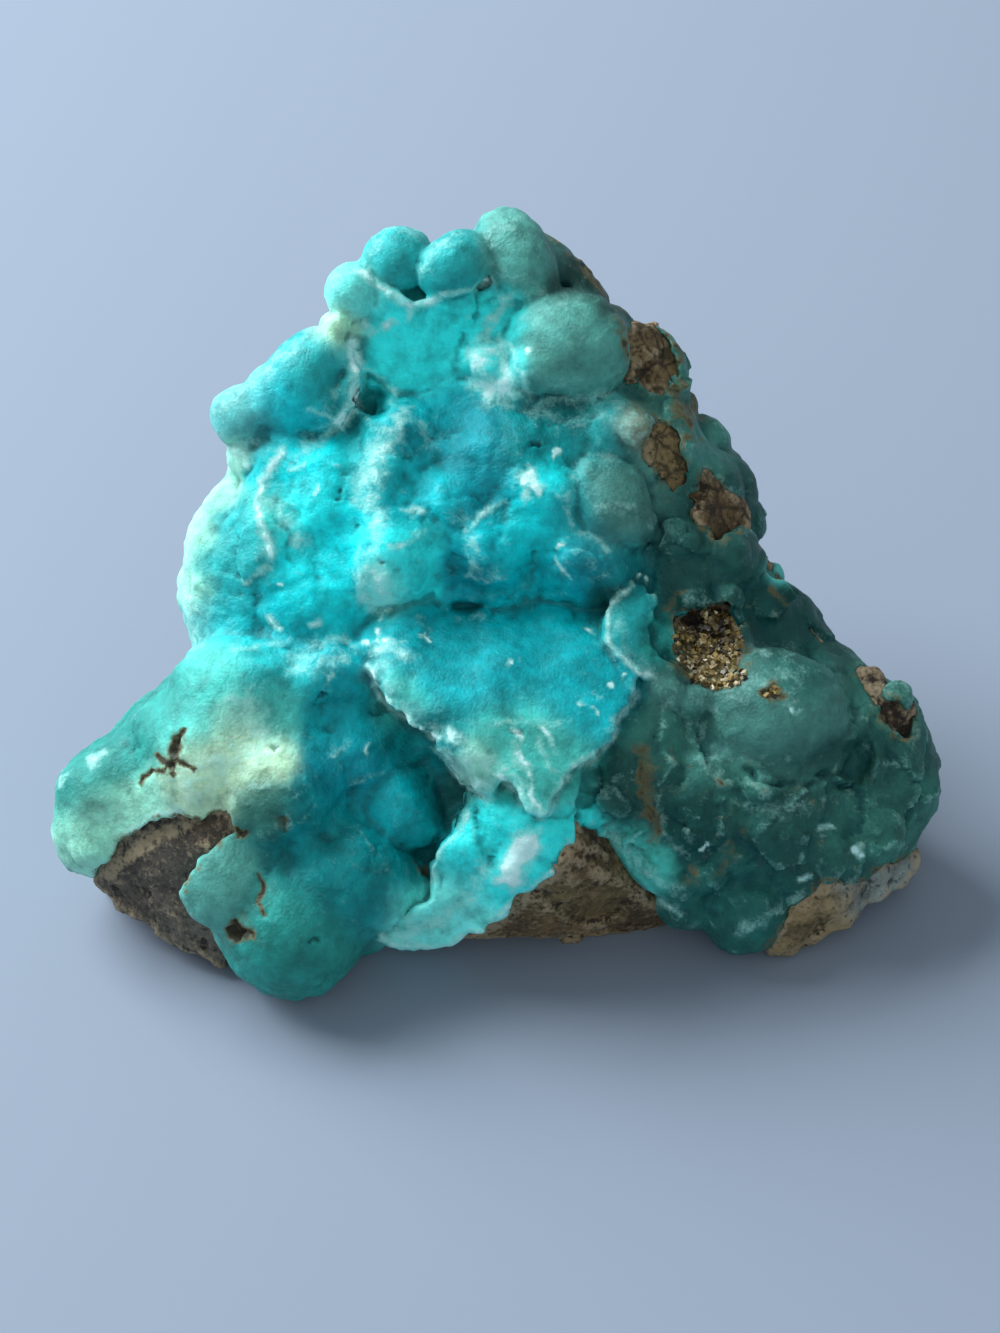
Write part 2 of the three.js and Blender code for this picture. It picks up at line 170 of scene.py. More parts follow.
SHELF_BAND = [
    (-13.2, 1.2), (-13, -0.2), (-12.4, -1.9), (-11, -4), (-8.4, -5.9), (-6.5, -6.8), (-6.3, -8.5),
    (-4.2, -10.9), (-2.7, -12), (-1.1, -13.1),
]
SHEETS = [
    # shelf, with the two tips of its broken lower edge
    (SHELF_BAND + [(-0.2, -11.8), (0.2, -10.8), (1.5, -12), (2.9, -14.2), (3.9, -14.8),
      (4.6, -15.3), (5.1, -14.4), (6, -12), (7, -10.4), (9.8, -8.5), (11.2, -7.6), (11.7, -5.2),
      (13.5, -2.8), (14, 1.2), (13, 4.4), (11, 7.4), (6, 8.4), (-2, 8.4), (-11, 8.6), (-15.6, 6),
      (-14.6, 2.6)],
     [(-12.2, 1.2, 3.6), (-9.6, 4.2, 1.6), (-15.4, 5.4, -2.6), (-12, 8.2, -2.6), (-2, 3.6, 1.2),
      (0, 7, -2.6), (6, 3.4, 0.8), (9, 6.6, -2.6), (13.2, 1.7, 1.6), (0, 0, 4.2), (6.6, 0, 3.4),
      (13.2, -2.7, 3.6), (11.2, -7.4, 5.2), (6, -5.4, 5.6), (6, -9, 6), (-1.2, -7.4, 6.8),
      (-1.2, -3.6, 5.8), (-5.8, -4.7, 6.2), (-9.8, -2.2, 5.4), (-1, -12.8, 6.6), (4.5, -14.8, 7.4),
      (2.4, -11.6, 7.2)],
     7, SHELF_BAND, 1.8),
    # thin-walled dome beside the shelf
    ([(13.4, 8.5), (12.2, 7.8), (11.2, 6.6), (10.5, 5.2), (10.2, 3.7), (10.5, 2.2), (11.5, 0.8),
      (13, -0.4), (14.8, -1.2), (16.8, -1.8), (17.8, -0.6), (16.4, 0.8), (15.2, 2), (14.9, 3.6),
      (15.2, 5.4), (15.8, 7), (14.8, 8.3)],
     [(10.4, 3.8, 2.6), (11.6, 6.8, 1.2), (12.8, 4, 3), (15, 4.2, 1.2), (12, 0.8, 3.2),
      (14.6, 1, 2.2), (17, -1, 0.8), (14.4, 8, 0), (14.6, 6.4, 0.8)],
     6, [], 0),
    # spur below the shelf
    ([(-3, -9.5), (8.4, -9.5), (8.2, -12.4), (7.8, -14.6), (7.1, -17.9), (5.5, -20.5),
      (3.4, -21.9), (0.1, -24.8), (-1.8, -26.4), (-6.5, -28.3), (-9.1, -28.2), (-12.4, -27.2),
      (-10, -25.5), (-7, -23.8), (-6.6, -21.7), (-6.7, -19.8), (-6, -18.4), (-4.6, -17),
      (-3.7, -15.4), (-3.2, -12.3)],
     [(-2, -10, 2.6), (8, -10, 3.4), (7.4, -13.6, 4.4), (7.4, -17.2, 4.6), (1, -15.6, 4.8),
      (-3.4, -15.3, 4), (5.5, -20.4, 3.4), (1, -20, 3.6), (-5.6, -19.4, 3), (0.1, -24.8, 0.8),
      (-6.6, -23.6, 1.2), (-2, -26.3, -0.4), (-12.2, -27.2, -3), (-6.5, -28.2, -2.6)],
     7, [(-3.7, -15.4), (-6, -18.4), (-6.6, -21.7)], 0.8),
    # upper facet and the lower strip to the right of it
    ([(-14.3, 32.3), (-13.5, 30.1), (-10.2, 27.2), (-4.7, 28.6), (-3.8, 32.3), (-2.6, 35.6),
      (-2.6, 38), (-5, 37.7), (-6.6, 36.7), (-7.8, 36.9), (-8.9, 36.4), (-11, 37.8), (-12.6, 38.4),
      (-13.4, 36), (-13.5, 33.2)],
     [(-14.3, 32.3, -0.6), (-13.5, 30.1, -1.2), (-10.2, 27.2, -1.8), (-4.7, 28.6, -2),
      (-8, 32, -0.5), (-2.6, 35.6, -0.2), (-6.3, 36.8, 0.9), (-9, 36.4, 1.1), (-11.6, 37.8, 0.8),
      (-3.4, 37.6, 0.6), (-8, 34.6, 0.2)],
     6, [], 0),
    ([(-2.4, 36), (-0.2, 39), (2.2, 37), (0.6, 34.2), (-1.6, 32), (-3, 30.6), (-4.6, 28.6),
      (-3.8, 32.3)],
     [(-1, 37.4, -0.8), (0.4, 35.4, -0.6), (-2.4, 32.4, -0.8), (-4.4, 29.2, -2)],
     6, [], 0),
    # white crescent of broken crust beside the left shoulder
    ([(-14.8, 32.3), (-14, 31), (-13.8, 29), (-14, 27.4), (-14.6, 25.6), (-16, 23.6),
      (-16.4, 24.6), (-16.9, 27), (-15.6, 28.4), (-14.9, 30), (-15.3, 32)],
     [(-14.6, 32, 0.4), (-14.6, 29, 1.4), (-14.2, 26, 0.8), (-16.6, 27, 1.6), (-16, 24, 0.2)],
     5, [], 0),
]

# Bare patches, where the crust has come away: outline as seen, levels of the rock in it.
BARE = [
    # foot of the left lobe
    ([(-39.4, -19.8), (-37.6, -17.6), (-34.8, -15.5), (-32, -14.4), (-30.3, -15.3), (-28.6, -14.6),
      (-26.9, -14.8), (-26.6, -16.3), (-28.6, -17.7), (-30.6, -20.5), (-32.2, -23.4), (-31.6, -25),
      (-30.3, -26), (-28.9, -28.4), (-27.9, -29.6), (-31.4, -27.8), (-35, -25.4), (-38.4, -23.2),
      (-40.2, -21.4)],
     [(-39.4, -20, -5.8), (-34.8, -16, -1.6), (-31.6, -14.8, 0.4), (-27, -15.4, 2.4),
      (-28.6, -17.7, 1.4), (-34, -20.4, -2.2), (-32, -24.2, -3.2), (-37, -24, -7.4),
      (-28.6, -29.4, -6), (-34, -27.4, -7.4), (-40.6, -23, -9.6)]),
    # right shoulder
    ([(12.4, 33), (13.4, 34.2), (14.4, 33.6), (15.6, 34.2), (16.4, 32.8), (17.2, 31.4), (18, 29.8),
      (17.8, 28.2), (16.8, 28.2), (16, 27), (14.6, 27.4), (14.2, 28.6), (12.8, 29.4), (13, 31.2)],
     [(12.8, 33.8, -1.8), (15.2, 31, -2.2), (17.4, 28.4, -3.4), (13.5, 28.8, -1.8),
      (18.4, 29.6, -6.2), (16.8, 33, -5.4)]),
    ([(14.9, 24.4), (17, 24.3), (18.2, 22.6), (18.7, 20.4), (18.2, 18.6), (17.4, 17.2),
      (16.4, 18.3), (15.5, 19.7), (14.5, 21.7)],
     [(15, 24, 0.6), (17.2, 24, -0.8), (18.6, 20.6, -1.7), (17.5, 17.6, -1.8), (14.8, 21.4, 0.5)]),
    ([(19.9, 19.4), (22, 18.6), (23, 16.6), (24.6, 15.4), (24.2, 13.6), (22.6, 12.9), (21.6, 12.8),
      (20.2, 14), (19.7, 16)],
     [(20.2, 19, -2.6), (20.2, 14.2, -1), (22, 16.4, -2.8), (22.6, 18.2, -4.4), (23.5, 14, -3.8),
      (24.6, 15.2, -5.8)]),
    # sparkling pocket
    ([(17.6, 4.9), (18.6, 5.6), (20.4, 5.3), (21.4, 6), (23.2, 6), (23.7, 3.8), (24.4, 1.2),
      (23.4, -0.4), (21.6, -1.2), (19.6, -0.8), (18.4, 1), (17.3, 3)],
     [(18, 5, -2.6), (24, 5, -3.2), (18, -0.6, -1.4), (23.6, 0, -1), (20.6, 2.3, -2.2)]),
    # right lobe
    ([(37.6, -2.6), (39.4, -3), (41, -4.8), (41.4, -6.6), (40.6, -7.6), (39, -6.8), (37.8, -5)],
     [(38, -3, -6), (41.6, -7, -7.9), (39, -7, -5.6), (40, -4.6, -6.2)]),
    ([(35.6, -0.8), (37.8, -1), (38.2, -2), (36.4, -2.3)],
     [(36.8, -1.5, -6.8)]),
    ([(35.4, -22), (36.8, -21), (38.6, -20), (40.2, -19.4), (41.4, -19.2), (41.2, -20.4),
      (39.4, -22), (36.6, -23.4), (34.6, -24)],
     [(35.4, -22.6, -8.4), (38.2, -20.4, -9), (41, -19.2, -10.6), (39, -22, -10.4)]),
    ([(32.5, -21.4), (34.8, -21.9), (34.6, -23.4), (33.4, -25.4), (31.6, -27), (28, -28.8),
      (26.8, -28.6), (27.6, -26.6), (30.7, -24.1)],
     [(32.5, -21.5, -4.2), (35, -22.5, -6.2), (32.3, -27, -8.8), (27.5, -27, -5), (27, -29.4, -9),
      (30.7, -24.4, -4.6)]),
]

# ------------------------------------------------------------------ the matrix rock
# Corner points of its broken blocks, in the specimen's own axes.

ROCK_BLOCKS = [
    [(-27.4, -17.9, 0), (-32.4, -3.9, 0), (-23.4, 12.1, 0), (0.6, 21.1, 0), (25.6, 16.1, 0),
        (34.6, 0.1, 0), (32.6, -13.9, 0), (8.6, -19.9, 0), (-36.4, -8.9, 10), (-27.4, 10.1, 22),
        (-11.4, 22.1, 38), (1.6, 26.1, 51), (10.6, 20.1, 44), (20.6, 13.1, 27), (33.6, 2.1, 14),
        (35.6, -9.9, 8), (-7.4, 18.1, 44), (-13.4, 0.1, 27), (14.6, -1.9, 24), (-34.4, -13.9, 8),
        (30.6, -15.9, 8), (39.6, -6.4, 16.8), (37.4, -3.6, 12), (16.2, 18.4, 43.4),
        (21.8, 9.4, 34.6)],
    [(-5.9, -23.3, 4.4), (4.6, -23.3, 4), (18.1, -20.4, 5), (18.6, -15.9, 1), (-7.4, -15.9, 1),
        (7.8, -24.5, 18), (8.1, -17.9, 20), (0.6, -15.9, 18)],
    [(-39.4, -16.4, 4.4), (-38, -13.8, 7.8), (-34.3, -22.2, 3.4), (-27, -25, 2.2),
        (-26.9, -19.9, 0), (-33.4, -13.9, 0), (-29.9, -20.9, 16), (-25.4, -22.4, 17),
        (-37.8, -16.4, 9.2), (-27.4, -15.9, 12)],
    [(26.5, -21.4, 0.6), (36.4, -20.4, 2.6), (39.4, -15.4, 4), (36, -11, 0), (27, -11, 0),
        (30.4, -22.2, 7.2), (36.2, -20.8, 7), (38.6, -16.6, 7.6), (30, -12, 14)],
    [(42.6, -10.9, 0.6), (42.2, -10.2, 4.4), (39.5, -14.8, 0), (38.6, -14.6, 5), (34, -12, 0),
        (34, -8, 6), (40, -6, 0)],
]

# ------------------------------------------------------------------ surface marks on the crust
# Places are (across, up) in millimetres as the face is seen square on from VIEW_DISTANCE.

# Crests (raised) and creases (sunk), among them short bright marks that are painted glints: half
# width, height, paleness, rust, places along the line.
LINES = [
    # rims of the upper facet and of the band beside it
    (0.4, 0.5, 1, 0, [(-13.9, 39.6), (-11, 37.4), (-8.9, 36.2), (-6.8, 36.3), (-5, 37.3),
        (-2.7, 37.8), (-0.8, 38.7)]),
    (0.35, 0.3, 1, 0, [(-9, 36), (-9.4, 34.8)]),
    (0.35, 0.3, 0.9, 0, [(-13.8, 34.5), (-13.2, 33), (-12.7, 33.3)]),
    (0.3, 0.3, 0.9, 0, [(-11.6, 33.6), (-10.7, 34.3)]),
    (0.4, -0.5, 0, 0, [(-0.3, 38), (-2.2, 34.9), (-3.2, 33.2), (-4.4, 31.5), (-4.6, 29)]),
    (0.3, 0.25, 0.7, 0, [(-14.3, 32.2), (-13.4, 30), (-10.2, 27.4)]),
    (0.35, -0.4, 0, 0, [(-10.2, 27.2), (-7.5, 27.7), (-4.7, 28.6), (-3, 29.2)]),
    # below the right shoulder
    (0.4, -0.5, 0, 0, [(3, 27.4), (6, 26.2), (9, 26.4), (11.5, 28.1), (12.4, 29.8)]),
    (0.35, 0.35, 0.5, 0.15, [(4, 26.1), (6, 26.4), (7.5, 26.7), (9, 27.2), (10.3, 27.4),
        (11.2, 26.7), (12, 25.8)]),
    (0.35, 0.3, 0.7, 0, [(-3, 28.2), (-2.6, 30.2), (-1, 31.7), (0.6, 32), (1.4, 31), (1.8, 29.8),
        (3, 27.8)]),
    # left column and its outer rim
    (0.35, 0.35, 0.9, 0, [(-19.2, 25.8), (-17.5, 25.5), (-16, 24.7)]),
    (0.35, 0.3, 0.8, 0, [(-17.8, 22.7), (-17, 23.5), (-15.7, 24.3)]),
    (0.4, 0.4, 1, 0, [(-26.7, 21.7), (-26, 21.2), (-25.2, 20.2)]),
    (0.38, 0.5, 1.2, 0, [(-21.9, 21.5), (-22.8, 19.7), (-23.8, 18.1), (-24.2, 16.7), (-23.8, 14.7),
        (-23.3, 12.7), (-22.9, 11.1)]),
    # painted glint: a short white bar where light catches a small face
    (0.25, 0.2, 1, 0, [(-21, 19.7), (-19.6, 20.2)]),
    (0.25, 0.25, 1, 0, [(-25.4, 8.5), (-24.4, 9.3), (-23.6, 10), (-22.9, 9.9)]),
    # painted glints: two short white bars
    (0.25, 0.25, 1, 0, [(-23.1, 4.8), (-21.9, 4)]),
    (0.25, 0.25, 1, 0, [(-18.7, 4.1), (-18, 4.3)]),
    (0.5, -0.4, 0, 0, [(-24.4, 20.5), (-25.5, 18.7), (-26.4, 16.9), (-27.5, 14.7), (-28.3, 12.7),
        (-28.8, 10.7), (-29, 8.7)]),
    (0.9, 0.1, 0.7, 0, [(-26.4, 21.6), (-27.8, 19.7), (-29.5, 17.7), (-30.6, 15.7), (-31.6, 13.2),
        (-31.8, 10.7), (-31.7, 7.7), (-31, 5.5), (-31.2, 2.7)]),
    # middle of the face
    (0.7, 0.3, 0.6, 0, [(-11.5, 15.2), (-12.6, 13.2), (-13.2, 11.2), (-13.8, 8.7), (-13.4, 7),
        (-11.5, 6.2)]),
    # painted highlight on top of the bump
    (0.3, 0.25, 0.9, 0, [(-9.7, 15.6), (-7.7, 15.5)]),
    (0.5, -0.35, 0, 0, [(-12.4, 15.5), (-10.5, 16.3), (-7.5, 15.9), (-5, 13.7), (-4.2, 10.7),
        (-5, 7.7)]),
    # painted glint along a crest
    (0.3, 0.3, 0.9, 0, [(-3.6, 13.6), (-2.3, 15.2), (0.4, 16.4)]),
    (0.3, 0.3, 0.7, 0, [(-3.4, 9.2), (-1.6, 8.6), (0.6, 9)]),
    # painted glint: a white star where light catches a crystal face
    (0.45, 0.4, 1, 0, [(2, 18.9), (2.8, 18.4), (4, 17.9)]),
    (0.4, 0.4, 1, 0, [(2.7, 19.7), (2.8, 18.4), (2.5, 17.1)]),
    (0.4, -0.3, 0, 0, [(-3.9, 15.5), (-3.8, 12.2), (-3.4, 9.2)]),
    (0.4, -0.3, 0, 0, [(0.5, 16.7), (0.6, 12.7), (0.8, 9.2)]),
    # painted glints
    (0.25, 0.2, 0.9, 0, [(5.6, 10.8), (6.6, 9.9)]),
    (0.25, 0.2, 0.9, 0, [(6.5, 9.7), (7.5, 8.7)]),
    (0.3, 0.3, 0.6, 0, [(6.9, 17.7), (6.8, 15.7), (7.2, 13.7), (8.8, 13), (10, 12.5),
        (10.9, 11.8)]),
    (0.5, 0.3, 0.35, 0, [(-6, 6.7), (-4.5, 7.1), (-3, 6.9), (-1, 6.7), (1, 7.1), (4, 6.9),
        (6, 7.5), (8, 8.2), (10, 8.9), (11.5, 9.4)]),
    # shelf
    (0.3, 0.25, 1.2, 0, [(-12.9, 0.1), (-12.6, -1.8), (-10.8, -4), (-8.2, -6), (-6.3, -7.1)]),
    (0.5, 0.2, 0.9, 0, [(-6.3, -8.3), (-4.2, -10.7), (-2.7, -12), (-1.1, -13.1)]),
    (0.45, 0.2, 1, 0, [(0.1, -10.9), (1.5, -12.1), (2.9, -14.1), (4, -14.7)]),
    (0.4, 0.2, 0.8, 0, [(4.9, -14.6), (5.2, -12.9), (6, -12), (7, -10.4), (9.8, -8.5),
        (11.2, -7.6), (11.7, -5.3), (13.4, -3.4), (13.6, -2.4)]),
    (0.8, 0.1, 0.8, 0, [(-5, -6.9), (-3.8, -8.2), (-2.5, -9.1), (-1, -9.9)]),
    (0.35, 0.2, 0.7, 0, [(1.2, -7.6), (1.6, -8.9), (2, -10.4)]),
    (0.35, 0.2, 0.7, 0, [(0.5, -10.2), (1.5, -10.9), (2.2, -12.4)]),
    (0.35, 0.2, 0.6, 0, [(4, -7.4), (4.5, -9.4), (5.5, -10.4)]),
    (0.4, 0.15, 0.4, 0, [(-3.2, -5.6), (0, -5.8), (3.6, -5.6), (7.2, -5.7)]),
    (0.7, 0.15, 0.8, 0, [(-12.6, 1.8), (-10.6, 2), (-9.4, 1.2)]),
    # spur
    (0.35, 0.2, 0.8, 0, [(-3, -14.6), (-3.7, -15.6), (-4.5, -17), (-5.6, -18.2), (-6.5, -19.6),
        (-6.6, -21.8)]),
    (0.4, 0.15, 1, 0, [(7, -18), (5.6, -20.4), (3.4, -21.9), (0.3, -24.8), (-1.6, -26.3)]),
    (0.4, 0.15, 0.8, 0, [(-12, -27.2), (-9.2, -28), (-6.4, -28.2), (-2, -26.5)]),
    # painted highlight: a white blotch on the spur where light shines off it
    (0.9, 0.3, 1.8, 0, [(2.8, -17.4), (2.2, -18.4), (1.4, -19.6), (1.1, -21.2)]),
    # left lobe: rusty crack, facet edges and bright lines
    (0.55, -0.9, 0, 1.3, [(-32.6, -9.3), (-32.4, -8.6), (-32.2, -7.4)]),
    (0.3, -0.7, 0, 1.2, [(-32.2, -7.4), (-31.9, -6.8), (-31.3, -6.3)]),
    (0.26, -0.7, 0, 1.2, [(-36, -11.8), (-34.7, -10.6), (-33.4, -9.8), (-32.6, -9.3),
        (-31.6, -9.6), (-30.8, -10.2)]),
    (0.3, -0.6, 0, 1.2, [(-34.4, -8.9), (-33.2, -9.5), (-32.4, -10.4)]),
    (0.22, -0.5, 0, 1.15, [(-24.2, -20.8), (-23.6, -22), (-24.1, -23.6), (-23.3, -24.8)]),
    (0.3, -0.5, 0, 1.1, [(-26.4, -16.2), (-25.4, -17), (-25, -16.6)]),
    (0.5, 0.1, 0.9, 0, [(-38.2, -18.8), (-36.4, -16.8), (-34.2, -15), (-32, -14.1)]),
    (0.3, 0.2, 0.5, 0, [(-26.9, -13.9), (-26.5, -12.7), (-25, -12), (-23.2, -11.9)]),
    (0.3, 0.2, 0.5, 0, [(-26.4, 1.7), (-24, 2.2), (-21, 2.4)]),
    (0.5, 0.2, 0.5, 0, [(-20, 0.7), (-18, 1.9), (-16.5, 2.9), (-15.5, 2.7)]),
    (0.3, 0.2, 0.35, 0, [(-14.8, -11.6), (-13, -11), (-11.5, -10.4), (-8.7, -10.3), (-7, -11.4),
        (-6.2, -13.4)]),
    (0.3, 0.2, 0.35, 0, [(-14.3, -16.2), (-13, -17.9), (-11.2, -19.2)]),
    (0.25, 0.2, 0.6, 0, [(-17, -8.9), (-14.8, -7.6)]),
    # painted glints
    (0.45, 0.2, 1, 0, [(-40.8, -9.6), (-39.7, -8.6)]),
    (0.4, 0.2, 0.8, 0, [(-44.4, -11.7), (-43.9, -10.9)]),
    # right lobe
    (0.3, 0.35, 1.1, 0, [(13.2, 8.2), (12.2, 7.4), (11.4, 6.4), (10.8, 5), (10.6, 3.6),
        (10.9, 2.3), (11.9, 1), (13.4, -0.1), (15, -0.9)]),
    (0.5, -0.6, 0, 0, [(15.4, 6.4), (14.9, 4.7), (15, 2.7), (15.8, 1.4), (17.2, 0.4)]),
    (0.25, 0.25, 0.4, 0, [(22.9, -11.7), (24.2, -10.9), (25, -10.2), (26, -9.9), (27.5, -9.4)]),
    (0.3, 0.35, 0.5, 0.25, [(20.2, -9.4), (21.7, -10.3), (22.3, -11.7), (23.6, -11.3)]),
    (0.35, 0.35, 0.35, 0.2, [(25.2, -14.2), (27.2, -13.8), (29, -14), (30.5, -12.4)]),
    (0.35, 0.35, 0.5, 0, [(35.9, -7.2), (36.6, -8.6), (37.6, -9.5), (39.6, -9.8)]),
    (0.4, 0.35, 0.35, 0.3, [(9.4, -11.8), (11.6, -11.2), (13.6, -10.6)]),
    (0.3, 0.35, 0.3, 0.2, [(32.4, -13.2), (34.6, -12.4), (36.4, -13.4), (38.4, -12.8)]),
    (0.35, -1.6, 0, 0, [(24.4, -10.2), (26, -11.4), (28.2, -11.9), (31, -11.7), (33.4, -10.6)]),
    (0.7, -0.9, 0, 0, [(35, -2.6), (35.6, -5.4), (35.4, -8), (34.6, -10.6)]),
    (0.9, -0.25, 0, 0.8, [(14, -8.4), (15, -9.9), (14.5, -12.4), (15, -14.9), (15.5, -17.4)]),
    (0.8, -0.2, 0, 0.5, [(23.5, -18.4), (22, -20.4), (20, -21.4), (18, -21.4)]),
    (0.3, 0.3, 0.4, 0, [(15.7, -12.9), (16.2, -15.4), (17.2, -17.9), (19, -18.7)]),
    (0.35, 0.2, 0.8, 0, [(9.8, -18.4), (11.2, -20.2), (14, -22.4), (16.5, -23.9), (18.3, -24.9)]),
    (0.7, 0.2, 0.5, 0, [(11, -16.4), (12.4, -18.6), (14.6, -20.6), (16, -21.6)]),
    # painted glints
    (0.25, 0.2, 1, 0, [(30.3, -21.3), (31.1, -20.9)]),
    (0.25, 0.2, 1, 0, [(32, -16), (33.2, -15.9)]),
    (0.5, 0.2, 0.5, 0, [(23.7, -26.4), (26, -25.4), (29, -23.9), (30.5, -22.7)]),
]

# Pits: place, radius, depth, rust around the pit.
PITS = [
    (-16, 17.4, 0.35, 0.5, 0), (3.3, 22.4, 0.45, 0.6, 0), (-11.6, 10, 0.45, 0.7, 0.5),
    (-17.7, -3, 0.5, 0.7, 0.3), (-23.1, -8.4, 0.35, 0.4, 0.2), (-26.1, -26.5, 0.8, 1, 1.3),
    (-25.8, -16.8, 0.4, 0.5, 1), (-21.9, -15.6, 0.5, 0.7, 0.5), (-18.6, -27.6, 0.5, 0.5, 0.2),
    (-8.1, -20.3, 0.6, 0.6, 0.7), (-13.2, 26.2, 0.7, 1.6, 0), (1.5, -6.8, 0.3, 0.4, 0.4),
    (27.2, -2.6, 0.7, 1.2, 1.2), (-7.9, 23.2, 0.25, 0.3, 0.6), (-31.9, 1.4, 0.3, 0.3, 0.2),
    (22.4, -14.4, 0.5, 0.3, 0.3),
]

# Hollows: place, half width across, half width up, turn, depth.
HOLLOWS = [
    (-12.9, 26.6, 2.2, 1.5, -35, 2.2), (8.6, 6.2, 3.6, 1.7, 25, 0.3),
    (-3.4, 6.1, 1.6, 0.9, 0, 1.8), (35.7, -9.5, 1.7, 2.9, -15, 2), (-5.4, -12.8, 3, 5.4, 40, 1.6),
]

# Dark hole at the top of the sparkling pocket: place, half widths.
POCKET_HOLE = (19.4, 4.7, 1.2, 0.7)

# Smooth areas: place, half widths, turn.
CALM = [
    (2.5, 41.1, 6, 4.2, -58), (-4.6, 40.2, 4.2, 3.3, 38), (-10.1, 40.8, 3.8, 3.5, 0),
    (-15, 37.5, 3.3, 3.4, 0), (-16.4, 33.9, 1.5, 1.5, 0), (-19.9, 28.3, 6.6, 4.8, 60),
    (-25.9, 25.4, 3.8, 3.4, 20), (7, 31.9, 6.2, 5, -12), (27.6, 9.4, 1.3, 1.3, 0),
    (27.4, -4.4, 7, 6, -8), (-27, -21.6, 4.4, 4.6, 0), (-10.2, -14.2, 4.4, 4.2, 0),
    (10.8, 16.2, 4, 4.6, 12), (-8.6, 32.4, 5, 4, 0), (-39, -14, 5, 5, 0), (-21, -27, 6, 5, 0),
    (2, -5, 12, 9.5, 0), (12.8, 3.8, 2.9, 5, 0), (-28, -6, 7, 6, 20), (-24.2, -13.8, 3, 2.6, 0),
]

# Areas where the crust is broken into flat chips: place, half widths, turn, strength.
BROKEN = [
    (27, -14.5, 16, 9, -10, 1), (13.6, -13.4, 6, 9, 0, 1), (38.6, -12, 4.5, 11, 0, 0.8),
    (20, 12, 8, 8, 0, 0.7), (27, 4.6, 8, 3.6, -35, 0.8), (16.6, 26, 3.6, 8, 10, 0.6),
    (-4, -13.4, 3.2, 7, 35, 0.6), (-15, -14, 9, 10, 0, 0.2), (-18, 10, 9, 10, 0, 0.15),
    (2, 14, 12, 9, 0, 0.12), (-30, -8, 12, 8, 20, 0.15),
]

